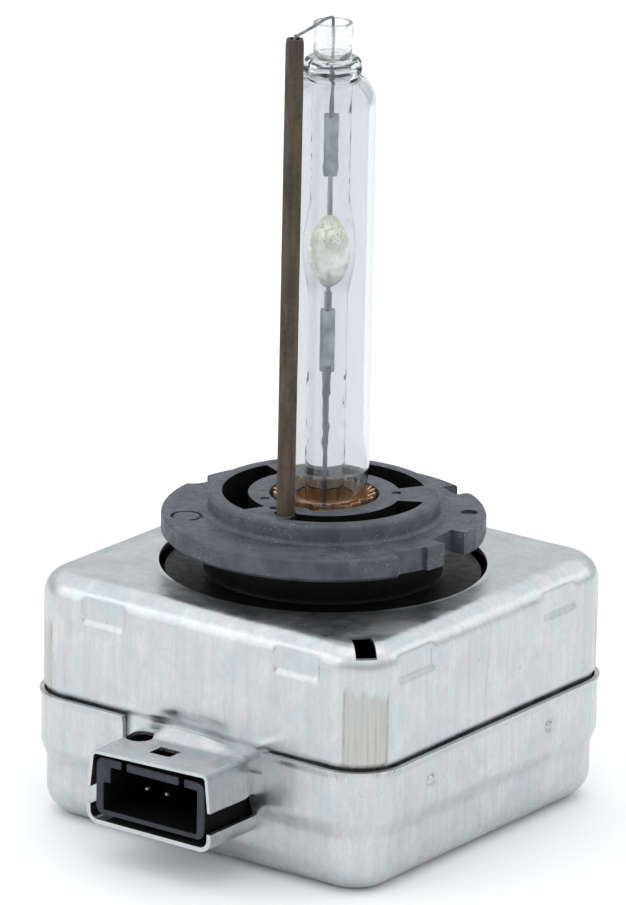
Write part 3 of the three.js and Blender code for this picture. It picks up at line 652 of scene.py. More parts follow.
upper_low, upper_high = box_mm("upper_housing_shell")
lower_low, lower_high = box_mm("lower_housing_shell")
CAN_HALF = upper_high.x
CAN_TOP = upper_high.z
SKIRT_BOTTOM = upper_low.z
RIM_HALF = lower_high.x
RIM_TOP = lower_high.z


def rounded_square(half, corner, step):
    """Evenly spaced (x, y, nx, ny) points around a square with round corners, from the middle of +X."""
    flat = half - corner
    per_side = round(2 * flat / step / 2) * 2
    per_corner = max(6, round(math.pi / 2 * corner / step))
    points = []
    for side in range(4):
        angle = side * math.pi / 2
        nx, ny = math.cos(angle), math.sin(angle)
        for i in range(per_side):
            along = -flat + 2 * flat * i / per_side
            points.append((half * nx - along * ny, half * ny + along * nx, nx, ny))
        cx, cy = flat * nx - flat * ny, flat * ny + flat * nx
        for i in range(per_corner):
            turn = angle + math.pi / 2 * i / per_corner
            mx, my = math.cos(turn), math.sin(turn)
            points.append((cx + corner * mx, cy + corner * my, mx, my))
    return points


def face_of(nx, ny):
    """Name of the flat wall with that normal, or None on a corner."""
    for name, (fx, fy) in {"right": (1, 0), "back": (0, 1), "left": (-1, 0), "front": (0, -1)}.items():
        if nx * fx + ny * fy > 0.9999:
            return name
    return None


def pad_depth(x, y, z, nx, ny):
    """How far the pressed pads under the top edge sink the sheet."""
    face = face_of(nx, ny)
    if face is None:
        return 0.0
    along = x if face in ("front", "back") else y
    across = max(window(along, a + 0.15, b - 0.15, 0.28) for a, b in PAD_SPANS[face])
    return PAD_DEPTH * across * min(1.0, max(0.0, (z - PAD_BOTTOM) / 0.7))


def sheet_wave(x, y, z, amount):
    """Slow unevenness of pressed sheet."""
    return amount * rough(x, y, z, 0.11) + amount * 0.35 * rough(x, y, z, 0.4)


def dish(x, z):
    """Unevenness of the front wall by the connector: a hollow over its roof, a crease from its corner."""
    across = blend_step(x, -5.6, -2.0) * (1 - blend_step(x, 0.0, 5.5))
    hollow = 0.36 * across * math.exp(-((z - 13.7) / 0.8) ** 2)
    # the crease climbs to the right
    along = blend_step(x, 7.0, 7.8) * (1 - blend_step(x, 9.2, 11.6))
    away = (z - 13.3 - 0.5 * (x - 7.9)) / 0.34
    return hollow - 0.26 * along * math.exp(-away * away)


def upper_profile():
    """(inset, z) points down the outside of the wall, from the start of the top rounding."""
    wall_top, joggle_top, skirt_top = CAN_TOP - TOP_EDGE, SEAM + 0.5, SEAM - 0.5
    rounding = arc((TOP_EDGE, wall_top), TOP_EDGE, 90, 180, 12)
    wall = [(0.0, z) for z in spaced(wall_top, joggle_top, 44)[1:]]
    joggle = [(JOGGLE * blend_step(t, 0, 1), joggle_top - t) for t in spaced(0, 1, 10)[1:]]
    skirt = [(JOGGLE, z) for z in spaced(skirt_top, SKIRT_BOTTOM, 10)[1:]]
    return rounding + wall + joggle + skirt


def upper_ring(base, inset, z):
    """The wall's ring of points at one height."""
    ring = []
    for x, y, nx, ny in base:
        # a flat punch: it moves only the sheet that stands proud of its face
        sunk = max(0.0, pad_depth(x, y, z, nx, ny) - inset) if z > SEAM + 1 else 0.0
        if face_of(nx, ny) == "front":
            sunk += dish(x, z)
        waved = sheet_wave(x, y, z, 0.05) * blend_step(SEAM + 12, z - 1, z + 4)
        move = -inset - sunk + waved
        ring.append((x + nx * move, y + ny * move, z))
    return ring


def top_rings(edge_ring, z, steps):
    """Rings across the flat top, from the round opening out to the start of the edge rounding."""
    rings = []
    for t in [0.0, 0.02, 0.045] + [i / steps for i in range(1, steps)]:
        ring = []
        for x, y, _ in edge_ring:
            reach = math.hypot(x, y)
            r = OPENING_R + (reach - OPENING_R) * t
            px, py = x / reach * r, y / reach * r
            burr = 0.06 * (1 - blend_step(r, OPENING_R, OPENING_R + 0.3))
            ring.append((px, py, z + burr + sheet_wave(px, py, z, 0.05) * math.sin(math.pi * t)))
        rings.append(ring)
    return rings


def upper_shell():
    base = rounded_square(CAN_HALF, TOP_CORNER, PERIMETER_STEP)
    outer = [upper_ring(base, inset, z) for inset, z in upper_profile()]
    inner = []
    for inset, z in upper_profile()[::2]:
        drop = SHEET * min(1, inset / TOP_EDGE) if z > SEAM + 1 else 0.0
        inner.append(upper_ring(base, inset + SHEET, z - drop))
    outer_top = top_rings(outer[0], CAN_TOP, 12)
    inner_top = top_rings(inner[0], CAN_TOP - SHEET, 6)
    lip = [[(x, y, z - 0.12) for x, y, z in outer_top[0]]]
    rings = lip + outer_top + outer + inner[::-1] + inner_top[::-1]
    shell = loft("upper_housing_shell_sheet", rings, closed=True)
    corner_slot = polar_block(-45, 22.85, 40, 1.025, 24.15)
    half = HOOD_HALF - 0.15
    passage = block((-half, -30, 0), (half, -18.4, HOOD_TOP - 0.2))
    boolean(shell, [corner_slot, passage])
    boolean(shell, [hood_sheet()], "UNION")
    boolean(shell, hood_cutters())
    show(shell, "aluminium", "upper_housing_shell", angle=40)


HOOD_FRONT = upper_low.y
HOOD_HALF = 7.05
HOOD_TOP = 11.85
HOOD_SHEET = 0.34
HOOD_BEND = 0.6
FLAP_BOTTOM = 8.0


def hood_path(x):
    """(y, z) points of the hood's upper side, from inside the wall out to its front edge."""
    wall, bend_end = -CAN_HALF, -CAN_HALF - 1.42
    ridge_z = HOOD_TOP + 0.05 + 0.95 * blend_step(x, -5.2, -3.4) - 0.115 * max(0.0, x - 1.1)
    rise = ridge_z - HOOD_TOP
    gutter = 0.34 * blend_step(x, -4.6, -3.2) * (1 - 0.7 * blend_step(x, 1.5, 6.0))
    start = [(wall + y, ridge_z - share * gutter) for y, share in ((0.7, 0), (0.45, 0.4), (0.2, 1), (0.02, 0.6))]
    bend = [(wall - 0.12 - 1.3 * t, ridge_z - rise * blend_step(t, -0.25, 1)) for t in spaced(0, 1, 10)]
    front = [(y, HOOD_TOP) for y in spaced(bend_end, HOOD_FRONT, 14)[1:]]
    return start + bend + front


def hood_section(fall):
    """(x, drop, nx, nz) points across the hood: up the left flap, over the roof, down the right one."""
    flat, steps = HOOD_HALF - HOOD_BEND, 7
    half = [(-HOOD_HALF, fall - (fall - HOOD_BEND) * i / 6, -1, 0) for i in range(6)]
    for i in range(steps):
        turn = math.pi / 2 * i / steps
        nx, nz = -math.cos(turn), math.sin(turn)
        half.append((-flat + HOOD_BEND * nx, HOOD_BEND - HOOD_BEND * nz, nx, nz))
    roof = [(x, 0, 0, 1) for x in spaced(-flat, flat, 36)]
    return half + roof + [(-x, drop, -nx, nz) for x, drop, nx, nz in half[::-1]]


def hood_sheet():
    """Roof and two flaps over the connector, as one bent sheet with thickness."""
    rows = []
    for x, drop, nx, nz in hood_section(HOOD_TOP - FLAP_BOTTOM):
        path = hood_path(x)
        outer, inner = [], []
        for i, (y, z) in enumerate(path):
            t = i / (len(path) - 1)
            # the flaps spread as they come down, most at the front
            px = x + math.copysign(0.115 * drop * (0.35 + 0.65 * t), x) * abs(nx)
            pz = z - drop + x / HOOD_HALF * 0.22 * t
            wobble = 0.05 * rough(px, y, pz, 0.45)
            outer.append((px + nx * wobble, y, pz + nz * wobble))
            inner.append((px - nx * HOOD_SHEET, y, pz - nz * HOOD_SHEET))
        rows.append(outer + inner[::-1])
    return loft("hood", rows)


def hood_cutters():
    """The round hole and the square window in the hood's roof."""
    low, high = 10.6, 12.6
    return [hole(-5.4, -22.6, 1.4, low, high), block((-1.85, -25.75, low), (0.65, -23.85, high))]


PAN_HALF = 20.7
PAN_CORNER = 4.55
BOTTOM_EDGE = 2.9
JOGGLE_LOW = 5.5
JOGGLE_HIGH = 7.75
DIMPLES = ((-10.76, 9.96), (9.35, 10.03))
NOTCH = (-8.5, 8.6)
NOTCH_FLOOR = 10.5
TRAY_HALF = 7.55
TRAY_BOTTOM = 4.1
TRAY_LIP = 6.05
TRAY_SHEET = 0.44


def lower_profile():
    """(offset from the wall, z) points up the outside, from the flat underside to the rim's top."""
    flare, lip_start = RIM_HALF - PAN_HALF - 0.2, RIM_TOP - 0.9
    rise = JOGGLE_HIGH - JOGGLE_LOW
    rounding = arc((-BOTTOM_EDGE, BOTTOM_EDGE), BOTTOM_EDGE, -90, 0, 12)
    wall = [(0.0, z) for z in spaced(BOTTOM_EDGE, JOGGLE_LOW, 6)[1:]]
    joggle = [(flare * blend_step(t, 0, 1), JOGGLE_LOW + rise * t) for t in spaced(0, 1, 12)[1:]]
    rim = [(flare, z) for z in spaced(JOGGLE_HIGH, lip_start, 16)[1:]]
    lip = [(flare + 0.2 * blend_step(t, 0, 1), lip_start + 0.9 * t) for t in spaced(0, 1, 6)[1:]]
    return rounding + wall + joggle + rim + lip


def lower_ring(base, offset, z, thickness):
    ring = []
    for x, y, nx, ny in base:
        move = offset - thickness + sheet_wave(x + 40, y, z, 0.045) * blend_step(z, 0.5, 3)
        if face_of(nx, ny) == "right":
            for dy, dz in DIMPLES:
                away = math.hypot(y - dy, z - dz)
                move += 0.1 * math.exp(-(away / 0.26) ** 2) - 0.24 * math.exp(-((away - 0.52) / 0.17) ** 2)
        ring.append((x + nx * move, y + ny * move, z))
    return ring


def shrunk(ring, z, shares):
    """Smaller copies of a ring at one height, to carry a flat face inwards."""
    return [[(x * share, y * share, z) for x, y, _ in ring] for share in shares]


def lower_shell():
    base = rounded_square(PAN_HALF, PAN_CORNER, PERIMETER_STEP)
    outer = [lower_ring(base, offset, z, 0.0) for offset, z in lower_profile()]
    inner = []
    for offset, z in lower_profile()[::2]:
        lift = SHEET * max(0.0, min(1.0, -offset / BOTTOM_EDGE))
        inner.append(lower_ring(base, offset, z + lift, SHEET))
    inner.append([(x, y, RIM_TOP) for x, y, _ in inner[-1]])
    shares = (0.02, 0.35, 0.7)
    under, floor = shrunk(outer[0], 0.0, shares), shrunk(inner[0], SHEET, shares[::-1])
    shell = loft("lower_housing_shell_sheet", under + outer + inner[::-1] + floor)
    notch = block((NOTCH[0], -30, NOTCH_FLOOR), (NOTCH[1], -CAN_HALF + 1.4, 20))
    half = TRAY_HALF - TRAY_SHEET
    mouth = block((-half, -PAN_HALF - 0.85, TRAY_BOTTOM + TRAY_SHEET), (half, -PAN_HALF + 2, 20))
    boolean(shell, [tray_sheet()], "UNION")
    boolean(shell, [notch, mouth])
    show(shell, "aluminium", "lower_housing_shell", angle=40)


def tray_sheet():
    """Shelf under the connector with a low lip bent up along each side."""
    radius, steps = 1.3, 16
    flat = TRAY_HALF - radius
    right = [(TRAY_HALF, TRAY_LIP)] + arc((flat, TRAY_BOTTOM + radius), radius, 0, -90, 6)
    outer = right + [(-x, z) for x, z in right[::-1]]
    inner = []
    for x, z in outer:
        depth = max(0.0, TRAY_BOTTOM + radius - z) / radius
        side = math.copysign(math.sqrt(max(0.0, 1 - depth * depth)), x)
        inner.append((x if abs(x) < flat + 0.001 else x - side * TRAY_SHEET, z + depth * TRAY_SHEET))
    section = outer + inner[::-1]
    rings = []
    for y in spaced(lower_low.y, -PAN_HALF + 0.6, steps):
        rings.append([(x, y, z + 0.05 * rough(x, y, z, 0.4)) for x, z in section])
    return loft("tray", rings)


# ------- connector


def connector_body():
    """Plug socket: a deep mouth with a key in its upper left corner and two slots in the top wall."""
    low, high = box_mm("connector_housing")
    corner, front = 0.9, low.y
    flat_x, middle = high.x - corner, (low.z + high.z) / 2
    flat_z = high.z - middle - corner
    outline = []
    for side_x, side_z, start in ((1, 1, 0), (-1, 1, 90), (-1, -1, 180), (1, -1, 270)):
        outline += arc((flat_x * side_x, middle + flat_z * side_z), corner, start, start + 90, 5)
    body = loft("connector_body", [[(x, y, z) for x, z in outline] for y in (front, high.y)])
    half, floor = 5.7, -18.5
    mouth = block((-half, front - 1, 5.65), (half, floor, 10.15))
    boolean(mouth, [block((-half - 1, front - 2, 8.5), (-half + 0.85, floor + 1, 11))])
    slots = [block((x - 0.325, front - 1, 9.0), (x + 0.325, front + 4, 12)) for x in (-3.225, 3.775)]
    boolean(body, [mouth, *slots])
    show(rounded(body, 0.13, 2), "socket_plastic", "connector_housing")
    # painted shade: every face behind the socket's front face is coloured near black, as in deep shade
    paint(body, "painted_shade_plastic", lambda at, _: at.y > front + 0.25)


def contact_pin(node):
    """Square pin with a coined, tapered tip and a rounded turn down to its foot."""
    low, high = box_mm(node)
    x, half, bend = (low.x + high.x) / 2, (high.x - low.x) / 2, 1.2
    height, tip, leg = high.z - half, low.y, high.y - half
    spine = [(tip, height, 0.35), (tip + 0.5, height, 1.0), (leg - bend, height, 1.0)]
    spine += [(y, z, 1.0) for y, z in arc((leg - bend, height - bend), bend, 90, 0, 6)[1:]]
    spine.append((leg, low.z, 1.0))
    rings = []
    for i, (y, z, scale) in enumerate(spine):
        before, after = spine[max(0, i - 1)], spine[min(len(spine) - 1, i + 1)]
        run = Vector((after[0] - before[0], after[1] - before[1])).normalized()
        wide = half * scale
        dy, dz = Vector((-run.y, run.x)) * half * scale
        rings.append([(x + wide * a, y + dy * b, z + dz * b) for a, b in ((-1, 1), (1, 1), (1, -1), (-1, -1))])
    pin = rounded(loft(node + "_drawn", rings), 0.06, 2)
    show(pin, "lead_metal", node, finish="pin_metal")


# ------- base and ring

RING_R = 16.15
COLLAR_R = 11.5
DISC_DROP = 0.25
# where the wire and its sleeve come through
SLEEVE_AT = (1.05, -7.9)
ring_low, ring_high = box_mm("base_ring")
RING_BOTTOM = ring_low.z
FLANGE_TOP = 30.55
COLLAR_TOP = ring_high.z


def base_moulding():
    """Black carrier: a square plate under the housing's top, a disc in the opening and a neck."""
    low, high = box_mm("base_moulding")
    square = [(x, y) for x, y, _, _ in rounded_square(high.x, 4.0, 1.0)]
    plate = prism("base_moulding_body", square, low.z, 22.5)
    disc_r, disc_top, neck_r, bore, foot = 16.0, 24.5, 11.8, 3.9, low.z + 0.4
    neck = lathe("neck", [
        (bore, foot), (disc_r, foot), (disc_r, disc_top - 0.3), (disc_r - 0.3, disc_top),
        (neck_r + 0.5, disc_top), (neck_r + 0.1, disc_top + 0.15), (neck_r, disc_top + 0.6),
        (neck_r, high.z), (bore, high.z),
    ], 160)
    boolean(plate, [neck], "UNION")
    boolean(plate, [hole(0, 0, bore, 0, sides=64), hole(*SLEEVE_AT, 0.54, 0, sides=24)])
    show(rounded(plate, 0.12, 2), "black_plastic", "base_moulding", angle=32)


def sector(radius, start, end):
    """Cutter that takes away everything outside a radius between two angles."""
    return cutter(arc((0, 0), radius, start, end, 16) + arc((0, 0), RING_R + 2, end, start, 16))


def lobe_trim():
    """Cutter that gives the lobe between the two square notches its rounded ends."""
    turns = [
        (8.0, 14.7), (10.5, 15.15), (13.0, 15.45), (19.0, 15.7), (27.0, 15.95), (36.0, 16.1), (50.0, 16.15),
        (56.0, 16.05), (59.0, 15.85), (61.5, 15.3), (63.0, 14.6),
    ]
    inner = [arc((0, 0), r, turn, turn, 1)[0] for turn, r in turns]
    return cutter(inner + arc((0, 0), RING_R + 2, turns[-1][0], turns[0][0], 16))


def ring_slot(start, end):
    """Through slot between two angles, with rounded inner corners left to the bevel."""
    return cutter(arc((0, 0), 10.15, start, end, 32) + arc((0, 0), 7.55, end, start, 32))


def groove(centre, radius, start, end, depth, width):
    """Cutter for a narrow arc-shaped mark sunk into the flange."""
    outline = arc(centre, radius + width / 2, start, end, 20) + arc(centre, radius - width / 2, end, start, 20)
    return cutter(outline, FLANGE_TOP - depth, FLANGE_TOP + 1)


def ring_marks():
    """Small moulding marks on the flange and on the inner disc."""
    disc = COLLAR_TOP - DISC_DROP
    marks = [
        groove((-9.41, -10.14), 1.45, -40, 250, 0.3, 0.34),
        groove((8.2, 11.25), 1.4, 30, 222, 0.26, 0.32),
        hole(11.57, 8.51, 0.85, FLANGE_TOP - 0.3),
    ]
    marks += [hole(x, y, 0.5, disc - 0.16, sides=20) for x, y in ((-3.42, -5.25), (2.42, -5.05), (5.58, 4.45))]
    marks.append(hole(-0.95, -7.19, 0.42, disc - 1.2, sides=20))
    return marks


def base_ring():
    """Keyed ring: flange, collar, three curved slots, notches around the edge."""
    edge, fillet, lip, foot, bore = 0.42, 0.5, 0.5, 0.35, 5.45
    disc = COLLAR_TOP - DISC_DROP
    profile = [(bore, RING_BOTTOM), (RING_R - foot, RING_BOTTOM), (RING_R, RING_BOTTOM + foot)]
    profile += arc((RING_R - edge, FLANGE_TOP - edge), edge, 0, 90, 6)
    profile += arc((COLLAR_R + fillet, FLANGE_TOP + fillet), fillet, 270, 180, 6)
    profile += arc((COLLAR_R - lip, COLLAR_TOP - lip), lip, 0, 90, 6)
    profile += [(10.3, COLLAR_TOP), (10.15, COLLAR_TOP - 0.1), (7.7, disc), (bore, disc)]
    ring = lathe("base_ring_body", profile, 200)
    notch_at = arc((0, 0), 16.5, 179.4, 179.4, 1)[0]
    cutters = [hole(*notch_at, 1.95), polar_block(3.6, 13.6, 30, 2.0), polar_block(65.4, 14.3, 30, 1.4)]
    cutters += [sector(14.9, -27, -12.7), sector(15.4, -12.8, 0), lobe_trim()]
    cutters += [ring_slot(start, end) for start, end in ((-75, 19.5), (49.5, 131), (161, 255))]
    cutters.append(hole(*SLEEVE_AT, 1.1, sides=32))
    boolean(ring, cutters)
    rounded(ring, 0.2, 3, 40)
    boolean(ring, ring_marks())
    show(ring, "ring_plastic", "base_ring", angle=34)

    def in_slot(at, facing):
        return 7.3 < math.hypot(at.x, at.y) < 10.4 and abs(facing.z) < 0.5 and at.z < COLLAR_TOP - 0.1

    # painted shade: the walls of the slots are coloured near black, as in deep shade
    paint(ring, "painted_shade_plastic", in_slot)


def clamp_ring():
    """Thin copper band in uneven pleats that grips the foot of the glass."""
    low, high = box_mm("burner_clamp_ring")
    count, pleats = 360, 26
    shifts = [random.uniform(-0.25, 0.25) for _ in range(pleats + 1)]
    heights = [random.uniform(-0.35, 0.12) for _ in range(pleats + 1)]
    shifts[-1], heights[-1] = shifts[0], heights[0]

    def pick(values, turn):
        place = turn * pleats
        i = int(place)
        t = blend_step(place - i, 0, 1)
        return values[i % pleats] * (1 - t) + values[(i + 1) % pleats] * t

    def ring(z, inset, wave):
        points = []
        for k in range(count):
            turn = k / count
            angle = TAU * turn
            saw = math.asin(math.sin(angle * pleats + 2 * pick(shifts, turn))) / (math.pi / 2)
            r = 4.78 - inset + wave * (0.34 + 0.12 * pick(shifts, turn)) * saw
            top = max(0.0, (z - high.z + 1.2) / 1.2) * (pick(heights, turn) - 0.05 + 0.08 * saw)
            points.append((r * math.cos(angle), r * math.sin(angle), z + top))
        return points

    steps, foot, floor_r, sheet = 8, low.z + 0.2, 3.3, 0.12
    waves = [0.35 + 0.65 * min(1, i / 3) for i in range(steps + 1)]
    span = list(zip(spaced(foot, high.z - 0.1, steps), waves))
    outer = [ring(z, 0.0, wave) for z, wave in span]
    inner = [ring(z + (0.18 if i == 0 else 0.0), sheet, wave) for i, (z, wave) in enumerate(span)]
    rings = [circle(floor_r, foot, count)] + outer + inner[::-1] + [circle(floor_r, foot + 0.18, count)]
    show(loft("clamp_ring_band", rings, closed=True), "copper", "burner_clamp_ring", angle=50)


# ------- glass

BULB_R = 4.38
BULB_WALL = 0.7
LEG_R = 1.95
VESSEL_CENTRE = 57.65
CAVITY_R = 1.36


def turn_between(first, second, steps=10):
    """Quarter of an ellipse from one (radius, z) point to another, leaving the first one upright."""
    (r0, z0), (r1, z1) = first, second
    return [
        (r1 + (r0 - r1) * math.cos(t), z0 + (z1 - z0) * math.sin(t))
        for t in (math.pi / 2 * i / steps for i in range(steps + 1))
    ]


def outer_bulb():
    """Clear tube drawn in to a neck at both ends, with the melted bead at the top."""
    low, high = box_mm("outer_bulb")
    inner_r, neck_r, neck_wall = BULB_R - BULB_WALL, 3.1, 0.26
    outside = [(neck_r - neck_wall, low.z), (neck_r, low.z), (neck_r, 31.4)]
    outside += turn_between((BULB_R, 35.2), (neck_r, 32.0))[::-1]
    outside += [(BULB_R, z) for z in (45, 55, 65)]
    outside += turn_between((BULB_R, 72.4), (2.66, 74.75))
    outside += [(2.52, 74.95), (2.8, 75.15), (2.92, 75.4), (2.92, 75.8), (2.74, 75.98), (2.84, 76.12)]
    outside += turn_between((2.84, 76.2), (2.1, high.z), 8)[1:]
    inside = [(2.02, high.z - 0.05), (2.02, 75.4)] + turn_between((inner_r, 72.0), (2.15, 74.2))[::-1]
    inside += [(inner_r, z) for z in (65, 55, 45, 39)]
    inside += turn_between((BULB_R - neck_wall, 35.5), (neck_r - neck_wall, 32.2))
    bulb = lathe("outer_bulb_glass", outside + inside, 160)
    melted(bulb, 73.4, 75.0, 0.085)
    # light reaches what stands inside
    bulb.visible_shadow = False
    show(bulb, "quartz", "outer_bulb", angle=60)


def moved(vertex, at, amount, lift=0.0):
    """Shifts a vertex outwards from the axis and upwards, in millimetres."""
    share = 1 + amount / math.hypot(at.x, at.y)
    vertex.co.x *= share
    vertex.co.y *= share
    vertex.co.z += lift * MM


def melted(piece, start, full, amount):
    """Makes the glass uneven where the flame closed it, above a height."""
    for vertex in piece.data.vertices:
        at = vertex.co / MM
        if at.z < start or math.hypot(at.x, at.y) < 0.1:
            continue
        share = amount * blend_step(at.z, start, full)
        uneven = rough(at.x * 0.9, at.y * 0.9, at.z * 1.6)
        lift = 2.2 * (1 - blend_step(at.z, 76.0, 76.9)) * rough(at.x * 0.55 + 9, at.y * 0.55, 2.0)
        moved(vertex, at, share * uneven, share * lift)


def pinched(piece):
    """Unevenness left on the burner's legs where they were heated and pressed onto the foils."""
    for vertex in piece.data.vertices:
        at = vertex.co / MM
        share = window(at.z, 38.0, 44.5, 2.0) + 0.6 * window(at.z, 64.5, 71.0, 2.0)
        if math.hypot(at.x, at.y) > 1.8 and share > 0:
            uneven = rough(at.x * 0.8, at.y * 0.8, at.z * 0.9)
            uneven += 0.6 * rough(at.x * 1.7 + 5, at.y * 1.7, at.z * 1.8)
            moved(vertex, at, 0.1 * share * uneven)


def swell(base_r, peak_r, centre, half, steps, skew=0.0, power=0.75):
    """Outline of a bulge between two ends of equal radius; skew moves its widest point down."""
    points = []
    for i in range(steps + 1):
        t = math.cos(math.pi * (1 - i / steps))
        rise = (1 - t * t) ** power
        points.append((base_r + (peak_r - base_r) * rise * (1 - skew * t), centre + t * half))
    return points


def burner():
    """Quartz rod fused around the foils, with the closed arc chamber blown in its middle."""
    low, high = box_mm("burner_tube")
    outside = [(0.01, low.z), (LEG_R, low.z)] + [(LEG_R, 35 + 0.4 * i) for i in range(43)]
    outside += swell(LEG_R, 2.62, VESSEL_CENTRE, 5.1, 32, power=1.6)
    outside += [(LEG_R, 63 + 0.4 * i) for i in range(35)]
    outside += [(LEG_R, 76.8), (1.9, 77.4), (1.88, 78.4), (1.95, 79.4), (2.0, 80.0), (1.94, high.z)]
    inside = [(1.5, high.z), (1.46, 80.0), (1.44, 77.6), (1.3, 76.9), (0.9, 76.5), (0.01, 76.35)]
    tube = lathe("burner_glass", outside + inside, 96, closed=False)
    melted(tube, 77.0, 79.0, 0.1)
    pinched(tube)
    cavity = [(0.02, 54.0)] + swell(0.2, CAVITY_R, VESSEL_CENTRE - 0.15, 3.5, 20, 0.2)[1:-1] + [(0.02, 61.2)]
    boolean(tube, [lathe("room", cavity, 64, closed=False)])
    tube.visible_shadow = False
    show(tube, "quartz", "burner_tube", finish="burner_quartz", angle=60)


# ------- what carries the current


def rod_piece(name, slot, profile, *nodes, finish=None):
    show(lathe(name, profile, 32, closed=False), slot, *nodes, finish=finish, angle=50)


def electrodes():
    low, high = box_mm("upper_electrode")
    rod_piece("upper_electrode_rod", "lead_metal", [
        (0.04, low.z), (0.13, low.z + 0.04), (0.16, low.z + 0.16), (0.18, low.z + 0.4), (0.18, high.z + 0.5),
        (0.12, high.z + 0.6),
    ], "upper_electrode")
    low, high = box_mm("lower_electrode")
    turns, start, end = 14, low.z - 0.45, 53.4
    profile = [(0.1, low.z - 0.6), (0.2, start)]
    for i in range(turns * 4):
        z = start + (end - start) * (i + 1) / (turns * 4)
        profile.append((0.25 + 0.012 * math.sin(TAU * (i + 1) / 4), z))
    profile += [(0.15, end + 0.1), (0.14, high.z - 0.2), (0.11, high.z - 0.04), (0.03, high.z)]
    rod_piece("lower_electrode_rod", "lead_metal", profile, "lower_electrode")


def foil(node):
    """Thin foil, feathered at its edges and a little narrower towards its ends; the wires lapped onto its ends
    are separate pieces.
    """
    low, high = box_mm(node)
    turn = math.radians(35.8)
    half, steps, across = 0.5, 28, 10
    rings = []
    for t in spaced(0, 1, steps):
        z = low.z + (high.z - low.z) * t
        wide = half * (1 - 0.08 * (1 - window(t, 0.05, 0.95, 0.05)))
        front, back = [], []
        for u in spaced(-1, 1, across):
            thick = 0.008 + 0.045 * (1 - u * u)
            crease = 0.03 * rough(u * 1.5, z * 0.9, 3.0)
            for row, side in ((front, 1), (back, -1)):
                x, y = u * wide, crease + side * thick
                row.append((x * math.cos(turn) - y * math.sin(turn), x * math.sin(turn) + y * math.cos(turn), z))
        rings.append(front + back[::-1])
    show(loft(node + "_sheet", rings), "foil", node, angle=60)


def tube_along(name, path, radius):
    """Round wire along a list of points, closed at its ends."""
    rings = []
    side = Vector((1, 0, 0))
    for i, point in enumerate(path):
        run = (path[min(i + 1, len(path) - 1)] - path[max(i - 1, 0)]).normalized()
        side = (side - run * side.dot(run)).normalized()
        other = run.cross(side)
        rings.append([tuple(point + side * x + other * y) for x, y, _ in circle(radius, 0, 20)])
    return loft(name, rings)


SLEEVE_FOOT = Vector((*SLEEVE_AT, 31.4))
SLEEVE_TOP = Vector((1.02, -7.67, 80.3))


def bent(points, radius, steps=8):
    """Rounds the corners of a line of points."""
    path = [points[0]]
    for before, corner, after in zip(points, points[1:], points[2:]):
        start = corner + (before - corner).normalized() * radius
        end = corner + (after - corner).normalized() * radius
        for i in range(steps + 1):
            t = i / steps
            path.append(start.lerp(corner, t).lerp(corner.lerp(end, t), t))
    return path + [points[-1]]


def wires():
    low, high = box_mm("return_lead_wire")
    top = high.z - 0.22
    foil_top = box_mm("upper_foil")[1].z
    corners = [
        Vector((0, 0, foil_top - 0.6)), Vector((0, 0, top - 0.1)), Vector((0.2, -1.6, top)),
        Vector((0.62, -4.9, top - 0.35)), Vector((SLEEVE_TOP.x, SLEEVE_TOP.y + 0.05, top - 0.5)), SLEEVE_TOP,
        SLEEVE_FOOT + Vector((0, 0, -2)), Vector((SLEEVE_FOOT.x, SLEEVE_FOOT.y, low.z)),
    ]
    lead = tube_along("return_lead_drawn", bent(corners, 0.42), 0.155)
    show(lead, "lead_metal", "return_lead_wire", finish="wire_metal", angle=50)
    low, high = box_mm("lower_lead_wire")
    rod_piece("lower_lead_drawn", "lead_metal", [
        (0.12, low.z), (0.16, low.z + 0.1), (0.16, 37.6), (0.21, 37.9), (0.18, 39.0), (0.23, 40.4), (0.19, 42.4),
        (0.28, 42.8), (0.29, 43.9), (0.26, 44.6), (0.28, high.z + 0.9),
    ], "lower_lead_wire", finish="wire_metal")


def sleeve():
    """Brown ceramic tube, slightly uneven, with a softened upper end."""
    lean = SLEEVE_TOP - SLEEVE_FOOT
    turn = lean.to_track_quat("Z", "Y").to_matrix().to_4x4()
    length, radius, bore, sides = lean.length, 0.9, 0.5, 48
    rings = [circle(bore, 0, sides)]
    for z in spaced(0, length, 90):
        end = 0.08 * blend_step(z, length - 0.2, length)
        ring = []
        for x, y, _ in circle(1, z, sides):
            reach = radius + 0.012 * rough(x, y, z * 0.25, 1.6) - end
            ring.append((reach * x, reach * y, z))
        rings.append(ring)
    rings.append(circle(bore, length, sides))
    tube = loft("ceramic_sleeve_tube", rings, closed=True)
    tube.data.transform(Matrix.Translation(SLEEVE_FOOT * MM) @ turn)
    show(tube, "ceramic", "ceramic_sleeve", angle=50)


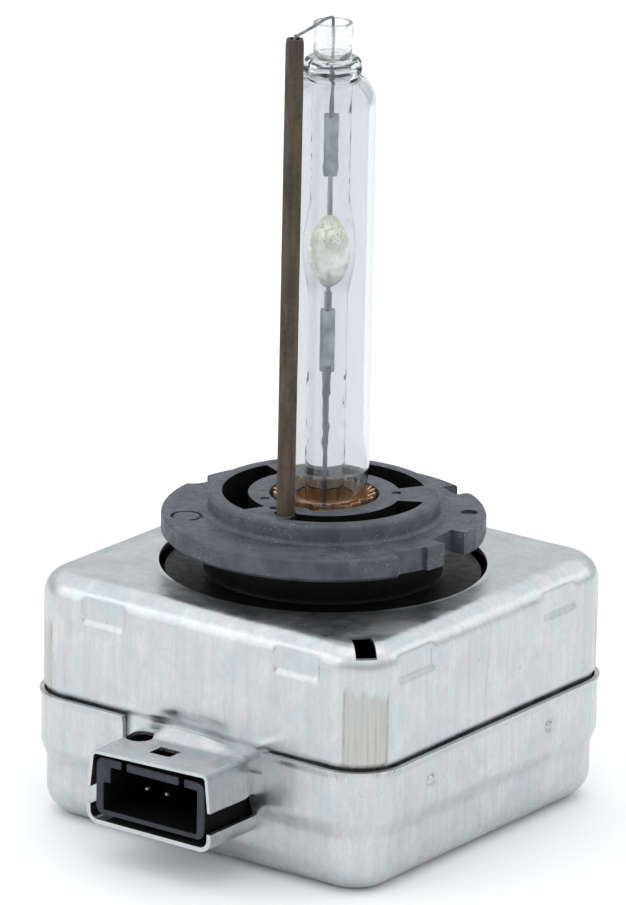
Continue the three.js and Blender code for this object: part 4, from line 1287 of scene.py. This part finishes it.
def salts():
    """Grains of metal salt lying on the chamber's wall."""
    low, high = box_mm("halide_salt")
    middle = (low + high) / 2
    grains = [(middle.x, middle.y, middle.z, 0.22)]
    for _ in range(26):
        angle = random.uniform(0, TAU)
        z = random.uniform(-2.2, 1.6)
        reach = 1.18 * math.sqrt(max(0.1, 1 - (z / 3.5) ** 2))
        x, y = reach * math.cos(angle), reach * math.sin(angle)
        grains.append((x, y, VESSEL_CENTRE + z, random.uniform(0.03, 0.09)))
    work = bmesh.new()
    for *place, r in grains:
        at = Vector(place)
        for vertex in bmesh.ops.create_icosphere(work, subdivisions=2, radius=r * MM)["verts"]:
            bulge = 1 + 0.35 * noise.noise(vertex.co / MM / r + at * 3)
            vertex.co = vertex.co * bulge + at * MM
    mesh = bpy.data.meshes.new("salt_grains")
    work.to_mesh(mesh)
    work.free()
    show(placed("salt_grains", mesh), "salt", "halide_salt", angle=60)


def salt_haze():
    """Thin film on the wall of the arc chamber, fused into the quartz."""
    outline = swell(0.24, CAVITY_R + 0.05, VESSEL_CENTRE - 0.15, 3.53, 24, 0.2)
    lining = [(max(0.2, r - 0.03), z) for r, z in outline[::-1]]
    show(lathe("salt_haze_film", outline + lining, 64), "salt", finish="salt_haze", angle=60)


# ------- pieces that keep their CAD shape

KEPT_NODES = {
    "igniter_carrier": "carrier_plastic", "conductor_plate": "brass", "transformer_core": "ferrite",
    "winding_bobbin": "carrier_plastic", "secondary_winding_1": "winding", "secondary_winding_2": "winding",
    "secondary_winding_3": "winding", "primary_winding": "copper", "spark_gap_body": "white_ceramic",
    "spark_gap_cap_front": "lead_metal", "spark_gap_cap_rear": "lead_metal",
    "ignition_capacitor": "capacitor_case", "bleeder_resistor": "resistor_body", "choke_core": "ferrite",
    "choke_winding": "winding", "high_voltage_insulator": "white_ceramic", "high_voltage_terminal": "brass",
    "return_terminal": "brass",
}


def dress_kept_nodes():
    for node, slot in KEPT_NODES.items():
        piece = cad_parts[node]
        piece.data.materials.clear()
        piece.data.materials.append(FINISHES[slot])


make_camera()
make_finishes()
make_lights()
make_floor()
upper_shell()
lower_shell()
connector_body()
contact_pin("contact_pin_left")
contact_pin("contact_pin_right")
base_moulding()
base_ring()
clamp_ring()
outer_bulb()
burner()
electrodes()
foil("upper_foil")
foil("lower_foil")
wires()
sleeve()
salts()
salt_haze()
dress_kept_nodes()
